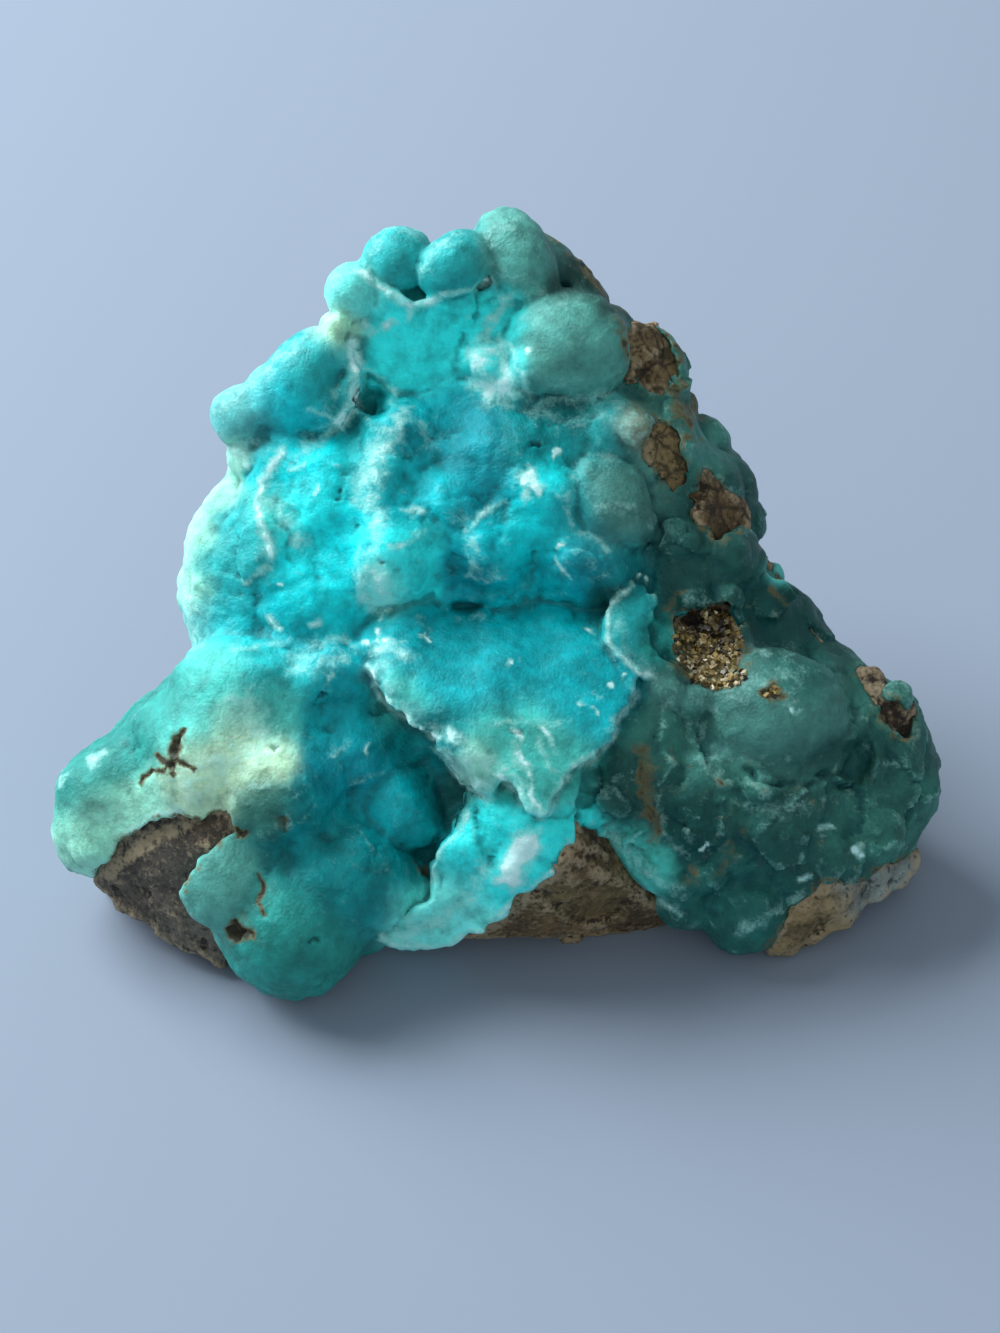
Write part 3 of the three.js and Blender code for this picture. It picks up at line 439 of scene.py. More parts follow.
# Pale clouds in the crust, or clear parts where the paleness is negative: half width,
# paleness, places along the middle.
CLOUDS = [
    (1.5, 0.9, [(-9.8, 24.9), (-11.5, 22.5), (-13, 19), (-13.4, 16.4)]),
    (1, 0.5, [(-7.8, 24.6), (-7.2, 22.4)]),
    (0.9, 0.75, [(-12.4, 14.2), (-13.5, 11.5), (-14, 8.8), (-13.3, 6.4), (-11.2, 6)]),
    (0.6, 0.55, [(-12, 10.8), (-9.6, 12.4), (-7.8, 13.4)]),
    (1.3, 0.5, [(-16.6, 24.2), (-18.6, 22.6), (-20.4, 20.6)]),
    (1.2, 0.65, [(-22.6, 16.4), (-21.2, 14.4), (-20.2, 12.6)]),
    (0.9, 0.6, [(-22.8, 19.6), (-24, 17), (-23.6, 14), (-22.9, 11.4)]),
    (0.9, 0.55, [(-3.4, 14.8), (-2.8, 12), (-2.6, 9.4), (0.2, 9)]),
    (0.8, 1.1, [(2, 19), (3.6, 18.2)]),
    (1.4, 1.15, [(-2.2, 30.8), (-0.4, 31.4), (0.3, 29.4), (0.6, 27.6), (-0.8, 27.4), (-2, 28.8)]),
    (1.2, 0.4, [(3, 26), (6.2, 24.6), (9.6, 25.8), (11.2, 24.4)]),
    (0.8, 0.9, [(0.6, 37), (-0.4, 35), (-2.2, 32.4)]),
    (1.1, 0.9, [(-12.6, 10), (-11.6, 7.6)]),
    (1.6, 0.55, [(-20.5, -0.4), (-18, 0.6), (-15.8, 1.2)]),
    (2.6, 0.6, [(-31, -11.6), (-27.6, -8.8), (-24, -7.8), (-26, -4)]),
    (1.4, 0.35, [(-30.8, -13.6), (-29.2, -12.4)]),
    (0.9, 0.5, [(-12.4, 1.4), (-12, -1.2), (-10.4, -3.4), (-8.2, -5), (-5.6, -6.4)]),
    (0.4, 1.3, [(1.4, -6.2), (2, -7.4), (1.8, -8.8), (2.4, -10)]),
    (0.4, 1.2, [(2.4, -9.8), (3, -11.2), (3.2, -12.8), (4, -14)]),
    (0.4, 1.1, [(4.2, -6.2), (5, -7.2), (5.2, -8.6)]),
    (0.4, 1.1, [(-4, -8.8), (-2.8, -10.2), (-2.2, -11.6)]),
    (0.8, 1, [(-5, -6.6), (-4.4, -7.6)]),
    (1.2, 0.8, [(-5, -8.4), (-3.4, -10.4), (-1.6, -12.2)]),
    # painted highlight: the white blotch on the spur where light shines off it
    (0.9, 1.4, [(2.8, -17), (1.8, -18.6), (1, -20.4), (0.4, -21.4)]),
    (1.2, 0.6, [(-1.4, -20), (-3.2, -23), (-6, -25.6), (-10, -27)]),
    (0.7, 0.6, [(11.8, 7.6), (10.8, 5), (10.9, 2.4), (12.4, 0.2)]),
    (1.6, 0.45, [(22, -2.4), (26, -1.4), (29.6, -0.6)]),
    (1.4, 0.35, [(17.6, -3.6), (19.4, -6.4)]),
    (1.2, 0.5, [(11.4, -17.4), (13.4, -19.4), (15.6, -21.4)]),
    (0.9, 0.35, [(23.6, -13.4), (27, -14.2), (30.6, -13.8)]),
    (0.9, 0.3, [(34.6, -13), (37.6, -14.2)]),
    (1, 0.6, [(-27, 21.6), (-29, 18.4), (-31, 14.6), (-31.6, 11), (-31.4, 7.6), (-30.8, 4.4),
        (-31.4, 1.6)]),
    (0.7, 0.6, [(13.2, 25.2), (12.4, 23.8), (13.4, 22.6), (14.6, 23.6)]),
    # upper sides of the balls made paler: partly frost, partly painted light where the window
    # light falls on them
    (0.9, 0.45, [(-13, 41.8), (-12, 43.4), (-10, 44.2), (-8.2, 43.4)]),
    (0.8, 0.45, [(-8, 39.6), (-6.6, 41.8), (-4, 43)]),
    (1, 0.4, [(-1.4, 42.6), (-0.4, 44.2), (1.6, 44.4)]),
    (1.2, 0.4, [(-0.6, 40), (0.8, 38.4), (3.4, 37.8)]),
    (1.2, 0.35, [(-17.6, 37.6), (-16.6, 39.6), (-14.6, 40.6)]),
    (1.3, 0.3, [(2.6, 34.2), (4.6, 36), (7.4, 36.6)]),
    (1.2, 0.2, [(6.4, 31.4), (8.6, 32.6), (10.4, 31.2)]),
    (1.1, 0.25, [(3.2, 29.4), (5.4, 28.2), (8, 27.8)]),
    (1.5, 0.5, [(-28.6, 26), (-26.4, 28), (-23.4, 29.8), (-21, 32.2), (-18.4, 33.8)]),
    (1.3, 0.45, [(-28.6, 23.6), (-26.6, 22.6), (-24.6, 22.4)]),
    (0.9, 0.45, [(-19, 25), (-17.4, 26.2), (-16, 27.8)]),
    (1, 0.4, [(7.4, 18.6), (9.2, 20.6), (11.6, 21)]),
    (0.9, 0.35, [(9.6, 15.6), (11.8, 16.6), (13.4, 15.2)]),
    (1.3, 0.4, [(20.6, -3.6), (22.4, 0.4), (25.6, 1.6), (29.2, 1.2)]),
    (0.9, 0.45, [(21.4, -8.6), (24.6, -9.6), (28.6, -9.2)]),
    # white crescent of broken crust
    (0.8, 1.5, [(-14.9, 32.2), (-14.4, 30.2), (-14.3, 28.4), (-14.6, 26.4), (-15.9, 24.2)]),
    # the lit upper side of the big dome, painted paler, and the rim of the thin-walled dome
    (1.2, 0.4, [(27, -1.6), (28.6, -3)]),
    (0.8, 0.45, [(11.8, 5.8), (12, 3.6), (12.8, 1.6), (14.8, 0), (16.2, -2)]),
    # clear glassy growth without any film
    (1.6, -0.5, [(5.4, 44), (8, 41), (11.6, 37.6), (15, 34.6)]),
    (1.4, -0.3, [(-5, 6.6), (1, 7.6), (6, 8), (10.4, 7.8)]),
    (2.4, -0.3, [(20, 14), (24, 10), (29, 6.6), (33.4, 2)]),
    (2, -0.3, [(36.4, -7), (36.4, -11)]),
    (1.6, -0.3, [(25, -9.8), (29, -10.4), (32.6, -9.4)]),
    (2.2, -0.3, [(-14, -4), (-9, -7.4), (-5.6, -12.6), (-7.6, -17.4)]),
]

# Painted glints: small white spots where light catches tiny faces, painted as paleness: place,
# radius.
PAINTED_GLINTS = [
    (0.8, 0.3, 0.35), (8.3, -3.8, 0.35), (9.5, -2.8, 0.3), (9.1, -4.5, 0.25), (11, -1.7, 0.3),
    (12.2, -0.9, 0.3), (-12.3, 3.5, 0.5), (-11.7, 2.4, 0.4), (-13.4, 2.4, 0.4), (-7.3, 2.8, 0.35),
    (8.7, 3.5, 0.3), (2.6, 31.6, 0.45), (29.2, -4.4, 0.4), (35.7, -18.4, 0.5), (20.2, -17.8, 0.3),
    (2.8, 18.6, 0.7), (3.6, 17.6, 0.5), (-10.2, 12.2, 0.4), (-16.6, -1.2, 0.35), (-5, -7, 0.6),
    (-21.6, 8.4, 0.35), (-18.6, 17.4, 0.4), (5.4, 21, 0.3), (14.2, 9, 0.35), (-11.6, 5.4, 0.35),
    (1.9, -18.4, 0.9), (0.8, -20.2, 0.7), (-13.2, -8.2, 0.3), (6.2, 12.4, 0.4),
]

# Limonite stains on the crust: half width, strength, places along the stain.
STAINS = [
    (0.8, 0.8, [(14.8, -8.2), (14, -10.9), (15.2, -12.4)]),
    (0.9, 0.4, [(10.5, -12.4), (12.8, -11.7)]),
    (0.3, 0.6, [(21.9, -14.3), (22.7, -14), (23.2, -14.7), (22.6, -15.4), (21.9, -15)]),
    (0.6, 0.5, [(25.2, -14.7), (23.2, -17.8), (21.7, -18.6)]),
    (0.9, 0.6, [(20.4, -19.2), (19, -20.6)]),
    (0.5, 0.6, [(21.3, -10.1), (22.5, -11.7)]),
    (1.2, 0.6, [(22.8, 6.4), (24.4, 3), (24.8, -0.1)]),
    (0.9, 0.55, [(19, -0.1), (21.7, -1.7), (24.4, -0.5)]),
    (0.6, 0.45, [(14, -23.2), (18.2, -25.5), (20.9, -27.2)]),
    (0.8, 0.6, [(27.4, 7.6), (28.8, 6.2)]),
    (1.8, 0.8, [(12.4, 34), (17, 30.2), (18.6, 26.6), (19.4, 23.5)]),
    (0.9, 0.55, [(-36.2, -11.9), (-33.7, -10.3), (-32.5, -9.1), (-31.4, -6.3)]),
    (0.9, 0.5, [(13.4, 26), (15.6, 25)]),
    (1.2, 0.4, [(17, -8), (19.5, -11), (18, -14)]),
    (0.9, 0.4, [(31, -13), (34, -15.4), (36.6, -15)]),
    (1, 0.45, [(35.4, -1), (37.6, -3.8), (39.6, -7.6)]),
    (0.8, 0.4, [(28.4, -19.4), (31.4, -20.8)]),
    (1.2, 0.9, [(4.6, 44.6), (8.2, 40.6), (11.8, 37.2), (15.4, 34.6), (18.2, 30.6)]),
    (0.9, 0.7, [(17, 0.8), (18.6, -0.8), (21.4, -2), (24, -1.2)]),
    (1, 0.6, [(17, 5.6), (18.4, 7.4)]),
]

# Tints of the crust, from thick glassy growth to thin or weathered growth, and where each
# is strongest: (across, up, radius).
SEA_GREEN = "#2a8f8c"  # far from every zone
CREASE_SHADE_TEAL = "#03474e"  # painted shade in the creases
FILM = "#b0ece4"
CHALK = "#d2ffff"  # where the film is thick
OCHRE = "#6c6440"
RUST = "#34240e"  # where the stain is thick
GLINT = "#9fe4ea"  # of the waxy gloss
ZONES = {
    # blue of thick glassy growth, from vivid to deep
    "#00dae0": [(3.5, 14.7, 3), (-17, 6.7, 3), (-17, 12.6, 3), (4.6, 18.6, 2.4),
        (-20.4, 18.8, 2.4)],
    "#00bcc6": [(-21.4, 25.8, 2.6), (-8, 17.6, 2.6), (7, 14.8, 2.2), (-26.5, 5.6, 2.2),
        (4, 6.7, 2.6), (-1.5, 12.7, 2)],
    "#00aab4": [(-16, -4.6, 2.6), (0, 0.6, 3.5), (8, -1.4, 3), (-6, 0.6, 3), (-7, 25, 2.6),
        (-15, 2, 2.4), (-20, 3, 2), (-10.5, -14.3, 3.4)],
    "#0096a4": [(-3.4, 23.6, 3.4), (8.6, 10.7, 2.6), (-1, 17.6, 2.4), (-3.6, 9.6, 1.6),
        (-14.6, -10.6, 2.6)],
    "#00888c": [(2.6, 22.6, 2.6), (-8, -7.6, 3), (-18, -18.4, 4), (-15, -22.4, 3), (6, 23.6, 2.4),
        (-9, -19.4, 2.4), (12.4, 10.2, 2)],
    # clear pale blue
    "#30f4f4": [(-20, 14.7, 2.2), (-8.4, 32.2, 3.6), (0, 35.1, 1.8), (-0.5, 29.6, 2),
        # the last two places brighten the spur under its painted highlight
        (-9, 10.7, 2.2), (0, -18.4, 3.5), (5, -17.4, 2.5)],
    "#22bec2": [(-12, 19.6, 2), (-20, -0.2, 1.6), (-23.5, 0.1, 2)],
    "#48c0b6": [(-23, -4, 2.4), (2, -8.4, 3.4), (-10, -3.4, 2), (13, -19.4, 2.2), (4, -12.6, 2.2),
        (-22.4, 15.6, 1.8), (-31.4, -5.4, 2.4), (-28, -2.4, 3.2)],
    "#74ece4": [(-15, 37.9, 2.4), (-6, -25.4, 3.2), (-12, 8.4, 1.8), (28, 9.4, 1)],
    "#60bcbc": [(-26.3, 25.4, 2.6), (-31, 4.6, 1.6), (-12.4, -0.6, 1), (-11.2, -2.8, 1),
        (-9, -4.8, 1)],
    "#22acae": [(-4.7, 40.5, 2.4), (-10.5, 41.1, 2.8), (10.4, 23.4, 2.4), (12.5, 4.2, 2),
        (-18.5, 30.6, 3), (-26.2, 13.5, 1.8), (-27, 9.6, 1.9), (-27, 6, 1.9), (-29.4, 10.7, 1.2)],
    # mint and cream of thin growth
    "#96e0c8": [(-26.6, -4.8, 1.6), (-31, 13, 1.8), (-31.2, 8, 1.8), (-29.2, 18, 1.6),
        (-27.2, 21.4, 1.2), (-41, -17.4, 3.4), (-36, -14.4, 2.4), (-2, -9.8, 1.6)],
    "#bfe8c4": [(-29.5, -10.8, 2.8), (-26, -8.2, 2.8), (-31.2, -13.4, 1.6), (-16.4, 33.9, 1.6)],
    "#98957a": [(13.4, 23.8, 1.6)],
    # sea green and grey green
    "#269088": [(-38.4, -7.4, 3.2), (-20, -27.4, 4), (-43.6, -12.6, 2.6), (-33.4, -3.4, 2.2),
        (-22.4, -24, 2.2), (16.4, 2.6, 1.8)],
    "#58a49a": [(2.3, 41.6, 3.2), (7.2, 32, 4.2), (-27.8, -21.9, 3), (21, 22, 1.8)],
    "#4c877e": [(27.5, -5.3, 4.4), (11, 16.1, 3.8), (19, -2.4, 2.2), (22.6, -1.4, 2.2)],
    "#367468": [(-24.4, -13.4, 1.8), (-23.6, -14.8, 1.8), (40.4, -12.6, 2.6), (16.4, 28, 2.2),
        (19.6, 24, 2.2), (20, 20, 1.8), (17, -8, 2.6), (16, 25.4, 2), (24, -12.8, 2.4),
        (38.4, -2, 2), (40, -4.4, 1.6), (36, -17.4, 2.6)],
    "#22564e": [(40.4, -9.6, 2.6), (29, -9.8, 1.4), (32.8, -8.8, 1.4), (28, -15.8, 3.4),
        (22.6, 21.6, 1.4), (24.6, 17.6, 1.4), (14, -12.4, 2.2), (36.8, -9.8, 2.2), (23, 11.7, 3.6),
        (18, 12.7, 2.6), (33, -21, 2.2)],
    "#22665e": [(24.5, -24.4, 3.6), (29.6, -0.6, 2.4)],
    "#124842": [(30, 5.7, 4), (-5, -13.4, 1.8), (20, -15.3, 2.4), (24, 17, 2), (19.4, 7.6, 1.8),
        (10.8, 7.2, 1.4)],
    # thin growth over dark rock, darkened further as painted shadow: the strip beside the apex
    # balls lies in their shadow
    "#0e2018": [(8.4, 39.8, 2.2), (11.8, 36.8, 2), (6, 43.4, 1.4), (5.8, 38.2, 1.2),
        (20.8, 26, 1.4)],
}

# Tints of the rock.
ROCK_BROWN = "#5d4f38"
PALE_GRAIN = "#a8997c"
DARK_SEAM = "#17140f"
ROCK_ZONES = {
    "#45413a": [(-34, -20, 6)],
    "#5c5a50": [(-31, -27, 3.4)],
    "#869694": [(38.6, -21, 3.6)],
    "#3a2c1a": [(-29.6, -16, 2.4)],
    "#5e4c2e": [(22, 16, 3)],
    "#4c3e26": [(8, -17.8, 2.2), (2, -26.6, 2), (14, -24.6, 1.6)],
    "#2c1e0e": [(39.6, -5.4, 3), (19.4, 4.7, 1)],
    "#6a6440": [(6, -23, 2), (11, -22.6, 1.6), (-2, -28, 1.6)],
    "#6b5a3a": [(15, 31, 3)],
    "#62502e": [(9, -22, 3.4)],
    "#8a7850": [(16.6, 20.8, 3)],
    "#5f4d32": [(5, -24, 10)],
    "#8a7a54": [(31, -25, 3)],
    "#4a3a24": [(20.6, 2.3, 4)],
}

# Pale edges of the rock, mostly worn: half width, paleness, places along the edge.
ROCK_EDGES = [
    (0.7, 1.8, [(-38.6, -20.6), (-36.8, -18.6), (-34, -16.8), (-31.8, -15.8)]),
    (0.5, 1.2, [(-40.4, -22), (-36.4, -25.4), (-32, -28.6), (-29, -30)]),
    (0.6, 1.3, [(7.4, -17.6), (5.6, -21), (3.2, -22.8), (0, -25.6), (-2.6, -27.2), (-7, -28.8)]),
    # painted light: the bottom edge below the spur, made pale where light from the floor catches
    # it
    (0.4, 0.9, [(-5, -28.9), (2, -28.4), (10, -27.2), (17.6, -25.8)]),
    (0.4, 0.9, [(12, -20.4), (15.4, -23.4), (18, -25.4)]),
    (0.5, 0.9, [(27.4, -29.2), (31, -27.8), (34, -25), (35.4, -22.2)]),
]

# Cracked patches of rock: place, radius.
CRACKED = [(15, 31, 4), (22, 16, 4.4), (16.6, 20.8, 4), (39.6, -5, 4)]

# Beds of small crystals: place, half widths, how many.
GRAIN_BEDS = [(20.8, 2.4, 3.4, 3.3, 620), (21.8, -1, 2.8, 1.2, 130), (27.2, -2.5, 0.8, 0.6, 16)]
GRAIN_TINTS = [
    "#1c160b", "#33290f", "#4d3f1f", "#5e5434", "#7a6a40", "#96844c", "#b29a60", "#d6caa4",
]

# ------------------------------------------------------------------ colours


def hex_to_linear(code):
    channels = [int(code[i:i + 2], 16) / 255 for i in (1, 3, 5)]
    return [c / 12.92 if c <= 0.04045 else ((c + 0.055) / 1.055) ** 2.4 for c in channels]


def colour_of(code):
    return (*hex_to_linear(code), 1)


# ------------------------------------------------------------------ shape helpers


def new_object(name, data):
    made = bpy.data.objects.new(name, data)
    bpy.context.scene.collection.objects.link(made)
    return made


def mesh_object(name, bm):
    mesh = bpy.data.meshes.new(name)
    bm.to_mesh(mesh)
    bm.free()
    return new_object(name, mesh)


def lump(bm, row, detail=3):
    across, up, out, *radii, turn = row
    place = Matrix.Translation((across, up, out)) @ Matrix.Rotation(math.radians(turn), 4, "Z")
    bmesh.ops.create_icosphere(bm, subdivisions=detail, radius=1,
                               matrix=FACE @ place @ Matrix.Diagonal((*radii, 1)))


def hull(bm, corners):
    made = bmesh.ops.convex_hull(bm, input=[bm.verts.new(corner) for corner in corners])
    spare = {item for item in made["geom_interior"] + made["geom_unused"]
             if isinstance(item, bmesh.types.BMVert)}
    bmesh.ops.delete(bm, geom=list(spare), context="VERTS")


def bake_modifiers(piece):
    graph = bpy.context.evaluated_depsgraph_get()
    mesh = bpy.data.meshes.new_from_object(piece.evaluated_get(graph))
    piece.modifiers.clear()
    piece.data = mesh


def remeshed(name, build, voxel, smoothing=0, onto=None):
    """One closed skin around the shapes that build() adds, over the mesh of onto if given."""
    bm = bmesh.new()
    build(bm)
    bmesh.ops.recalc_face_normals(bm, faces=bm.faces)
    if onto is not None:
        bm.from_mesh(onto.data)
        bpy.data.objects.remove(onto)
    skin = mesh_object(name, bm)
    remesh = skin.modifiers.new("skin", "REMESH")
    remesh.mode = "VOXEL"
    remesh.voxel_size = voxel
    if smoothing:
        smooth = skin.modifiers.new("smooth", "SMOOTH")
        smooth.factor = 0.5
        smooth.iterations = smoothing
    bake_modifiers(skin)
    return skin


def cut(piece, tool, keep_tool=False):
    modifier = piece.modifiers.new("cut", "BOOLEAN")
    modifier.operation = "DIFFERENCE"
    modifier.solver = "MANIFOLD"
    modifier.object = tool
    bake_modifiers(piece)
    if not keep_tool:
        bpy.data.objects.remove(tool)


def ground_slab():
    """A block whose top is the resting plane."""
    bm = bmesh.new()
    size = Matrix.Diagonal((200, 200, 30, 1))
    bmesh.ops.create_cube(bm, size=1, matrix=Matrix.Translation((0, 0, -15)) @ size)
    return mesh_object("ground", bm)


def keep_largest(piece):
    """Drops the loose crumbs that cutting and thinning leave."""
    bm = bmesh.new()
    bm.from_mesh(piece.data)
    waiting = set(bm.verts)
    bodies = []
    while waiting:
        body = [waiting.pop()]
        for vert in body:  # the list grows while it is read
            for edge in vert.link_edges:
                other = edge.other_vert(vert)
                if other in waiting:
                    waiting.remove(other)
                    body.append(other)
        bodies.append(body)
    bodies.sort(key=len)
    crumbs = [vert for body in bodies[:-1] for vert in body]
    bmesh.ops.delete(bm, geom=crumbs, context="VERTS")
    bm.to_mesh(piece.data)
    bm.free()


def mend(piece):
    """Rebuilds the few places where a collapse has folded faces onto each other."""
    for _ in range(8):
        bm = bmesh.new()
        bm.from_mesh(piece.data)
        folded = {vert for vert in bm.verts if not vert.is_manifold}
        folded |= {vert for edge in bm.edges if not edge.is_manifold for vert in edge.verts}
        if not folded:
            bm.free()
            return
        torn = {face for vert in folded for face in vert.link_faces}
        bmesh.ops.delete(bm, geom=list(torn), context="FACES")
        loose = [vert for vert in bm.verts if not vert.link_faces]
        bmesh.ops.delete(bm, geom=loose, context="VERTS")
        rims = [edge for edge in bm.edges if edge.is_boundary]
        filled = bmesh.ops.holes_fill(bm, edges=rims, sides=0)
        bmesh.ops.triangulate(bm, faces=filled["faces"])
        bmesh.ops.recalc_face_normals(bm, faces=bm.faces)
        bm.to_mesh(piece.data)
        bm.free()


def thin_out(piece, triangles):
    """Collapses a mesh to a triangle count, mostly where it faces away or lies hidden."""
    count = sum(len(face.vertices) - 2 for face in piece.data.polygons)
    if count <= triangles:
        return
    hidden = Skin(piece).facing <= HIDDEN_FACING
    group = piece.vertex_groups.new(name="spare")
    for chosen, weight in ((~hidden, 0.25), (hidden, 1)):
        group.add(np.nonzero(chosen)[0].tolist(), weight, "REPLACE")
    modifier = piece.modifiers.new("thin", "DECIMATE")
    modifier.ratio = triangles / count
    modifier.vertex_group = "spare"
    bake_modifiers(piece)
    piece.vertex_groups.clear()
    mend(piece)
    keep_largest(piece)


# ------------------------------------------------------------------ patterns and marks


def soft_step(low, high, values):
    part = np.clip((values - low) / (high - low), 0, 1)
    return part * part * (3 - 2 * part)


def cell(place):
    """Distance to the nearest cell centre, 0 to about 1."""
    return noise.voronoi(place)[0][0]


def chip(place):
    """Height of a skin broken into tilted chips, about -1 to 1."""
    centre = noise.voronoi(place)[1][0]
    tilt = noise.noise_vector(centre * 5.7)
    return 1.6 * tilt.dot(Vector(place) - centre) + tilt.x


def pattern(kind, points, size, shift=0):
    """What kind() gives at each point, for features about size wide; shift moves the pattern."""
    return np.array([kind(place) for place in (points / size + shift).tolist()])


class Skin:
    """The points of a mesh in millimetres, with what the marks need to know about each."""

    def __init__(self, piece):
        self.mesh = piece.data
        self.points = self.read("co")
        self.refresh()

    def read(self, field):
        values = np.empty(len(self.mesh.vertices) * 3)
        self.mesh.vertices.foreach_get(field, values)
        return values.reshape(-1, 3)

    def refresh(self):
        self.normals = self.read("normal")
        self.facing = self.normals @ np.array(FACE_OUT)  # 1 towards the camera, -1 away
        face = (self.points - np.array(FACE_MIDDLE)) @ np.array(FACE.to_3x3())
        spread = VIEW_DISTANCE / (VIEW_DISTANCE - face[:, 2])
        self.seen = face[:, :2] * spread[:, None]  # across and up, as the camera sees them

    def measure(self):
        self.coarse = pattern(noise.noise_vector, self.points, COARSE_WAVE)
        self.middle = pattern(noise.noise_vector, self.points, MIDDLE_WAVE, 40)
        self.fine = pattern(noise.noise_vector, self.points, FINE_WAVE, 80)
        self.front = soft_step(-0.05, 0.3, self.facing)
        self.near_side = soft_step(-0.6, 0.05, self.facing)
        # seen places moved by noise, so that marks laid out there get uneven edges
        self.warped = self.seen + 0.45 * self.middle[:, :2] + 0.3 * self.fine[:, :2]
        self.torn = self.seen + 0.6 * self.middle[:, :2] + 0.9 * self.fine[:, :2]

    def move(self, offsets):
        self.points = self.points + offsets
        self.mesh.vertices.foreach_set("co", self.points.ravel())
        self.mesh.update()
        self.refresh()

    def push(self, heights):
        """Moves the points outwards."""
        self.move(self.normals * heights[:, None])

    def press(self, depths):
        """Moves the points straight into the face."""
        self.move(np.array(FACE_OUT) * -depths[:, None])

    def relief(self, rounds):
        """How far each point stands out of the smoothed skin, in millimetres."""
        ends = np.empty(len(self.mesh.edges) * 2, dtype=np.int32)
        self.mesh.edges.foreach_get("vertices", ends)
        first, second = ends.reshape(-1, 2).T
        count = len(self.points)
        neighbours = np.bincount(first, minlength=count) + np.bincount(second, minlength=count)
        smooth = self.points
        for _ in range(rounds):
            sums = [np.bincount(first, smooth[second, axis], count) +
                    np.bincount(second, smooth[first, axis], count) for axis in range(3)]
            smooth = np.stack(sums, axis=1) / neighbours[:, None]
        return ((self.points - smooth) * self.normals).sum(axis=1)

    def store(self, name, values):
        if values.ndim == 2:
            opaque = np.column_stack([values, np.ones(len(values))])
            layer = self.mesh.attributes.new(name, "FLOAT_COLOR", "POINT")
            layer.data.foreach_set("color", opaque.ravel())
        else:
            layer = self.mesh.attributes.new(name, "FLOAT", "POINT")
            layer.data.foreach_set("value", values)


def line_distance(places, line):
    nearest = np.full(len(places), 1e9)
    for start, end in zip(line, line[1:]):
        start, run = np.array(start), np.array(end) - np.array(start)
        along = np.clip(((places - start) @ run) / (run @ run), 0, 1)
        offset = places - start - along[:, None] * run
        nearest = np.minimum(nearest, np.hypot(offset[:, 0], offset[:, 1]))
    return nearest


def oval_distance(places, across, up, half_across, half_up=None, turn=0):
    """0 at the middle and 1 on the outline of a turned oval, or of a circle if given a radius."""
    angle = math.radians(turn)
    x, y = places[:, 0] - across, places[:, 1] - up
    along = (x * math.cos(angle) + y * math.sin(angle)) / half_across
    over = (-x * math.sin(angle) + y * math.cos(angle)) / (half_up or half_across)
    return np.hypot(along, over)


def near_line(skin, line, width, gaps=0.5):
    """Closeness to a line, 1 on it, fading over its half width; gaps is what noise takes off."""
    nearest = np.zeros(len(skin.warped))
    low = np.min(line, axis=0) - 4 * width
    high = np.max(line, axis=0) + 4 * width
    chosen = np.all((skin.warped > low) & (skin.warped < high), axis=1)
    distance = line_distance(skin.warped[chosen], line)
    nearest[chosen] = np.exp(-(distance / width) ** 2)
    whole = soft_step(-0.55, 0.3, skin.fine[:, 2] + 0.6 * skin.middle[:, 0])
    return nearest * skin.front * (1 - gaps * (1 - whole))


def near_ovals(skin, rows, low, high):
    """The strongest oval at each point, at full strength up to low and gone from high on."""
    strongest = np.zeros(len(skin.points))
    for *oval, strength in rows:
        distance = oval_distance(skin.seen, *oval)
        strongest = np.maximum(strongest, strength * (1 - soft_step(low, high, distance)))
    return strongest * soft_step(-0.3, 0.1, skin.facing)


def mixed_tints(skin, zones, elsewhere):
    """Tints blended around their zones; far from every zone the tint is elsewhere."""
    weights = np.full(len(skin.points), 1e-4)
    total = weights[:, None] * np.array(hex_to_linear(elsewhere))
    for tint, circles in zones.items():
        colour = np.array(hex_to_linear(tint))
        for circle in circles:
            weight = np.exp(-oval_distance(skin.warped, *circle) ** 2)
            weight = weight * (0.02 + 0.98 * skin.near_side)
            total += weight[:, None] * colour
            weights += weight
    return total / weights[:, None]


# ------------------------------------------------------------------ plates


def inside(x, y, outline):
    hit = False
    for (x0, y0), (x1, y1) in zip(outline, outline[1:] + outline[:1]):
        if (y0 > y) != (y1 > y) and x < x0 + (y - y0) * (x1 - x0) / (y1 - y0):
            hit = not hit
    return hit


def ragged(x, y):
    """The place moved a little by noise, so that an outline tested there comes out broken."""
    coarse = noise.noise_vector(Vector((x, y, 3)) / TOOTH)
    fine = noise.noise_vector(Vector((x, y, 7)) / FINE_TOOTH)
    return x + 0.45 * coarse.x + 0.2 * fine.x, y + 0.45 * coarse.y + 0.2 * fine.y


def level_at(x, y, levels):
    """Level of a plate at a place: the plane that fits the levels given nearby best."""
    rows = np.array(levels)
    offsets = rows[:, :2] - (x, y)
    weights = ((offsets ** 2).sum(axis=1) + 3) ** -2.0  # the 3 smooths the step between levels
    terms = np.column_stack([np.ones(len(rows)), offsets])
    weighted = terms.T * weights
    stiff = np.diag([0, 1, 1]) * weights.sum()
    return np.linalg.solve(weighted @ terms + stiff, weighted @ rows[:, 2])[0]


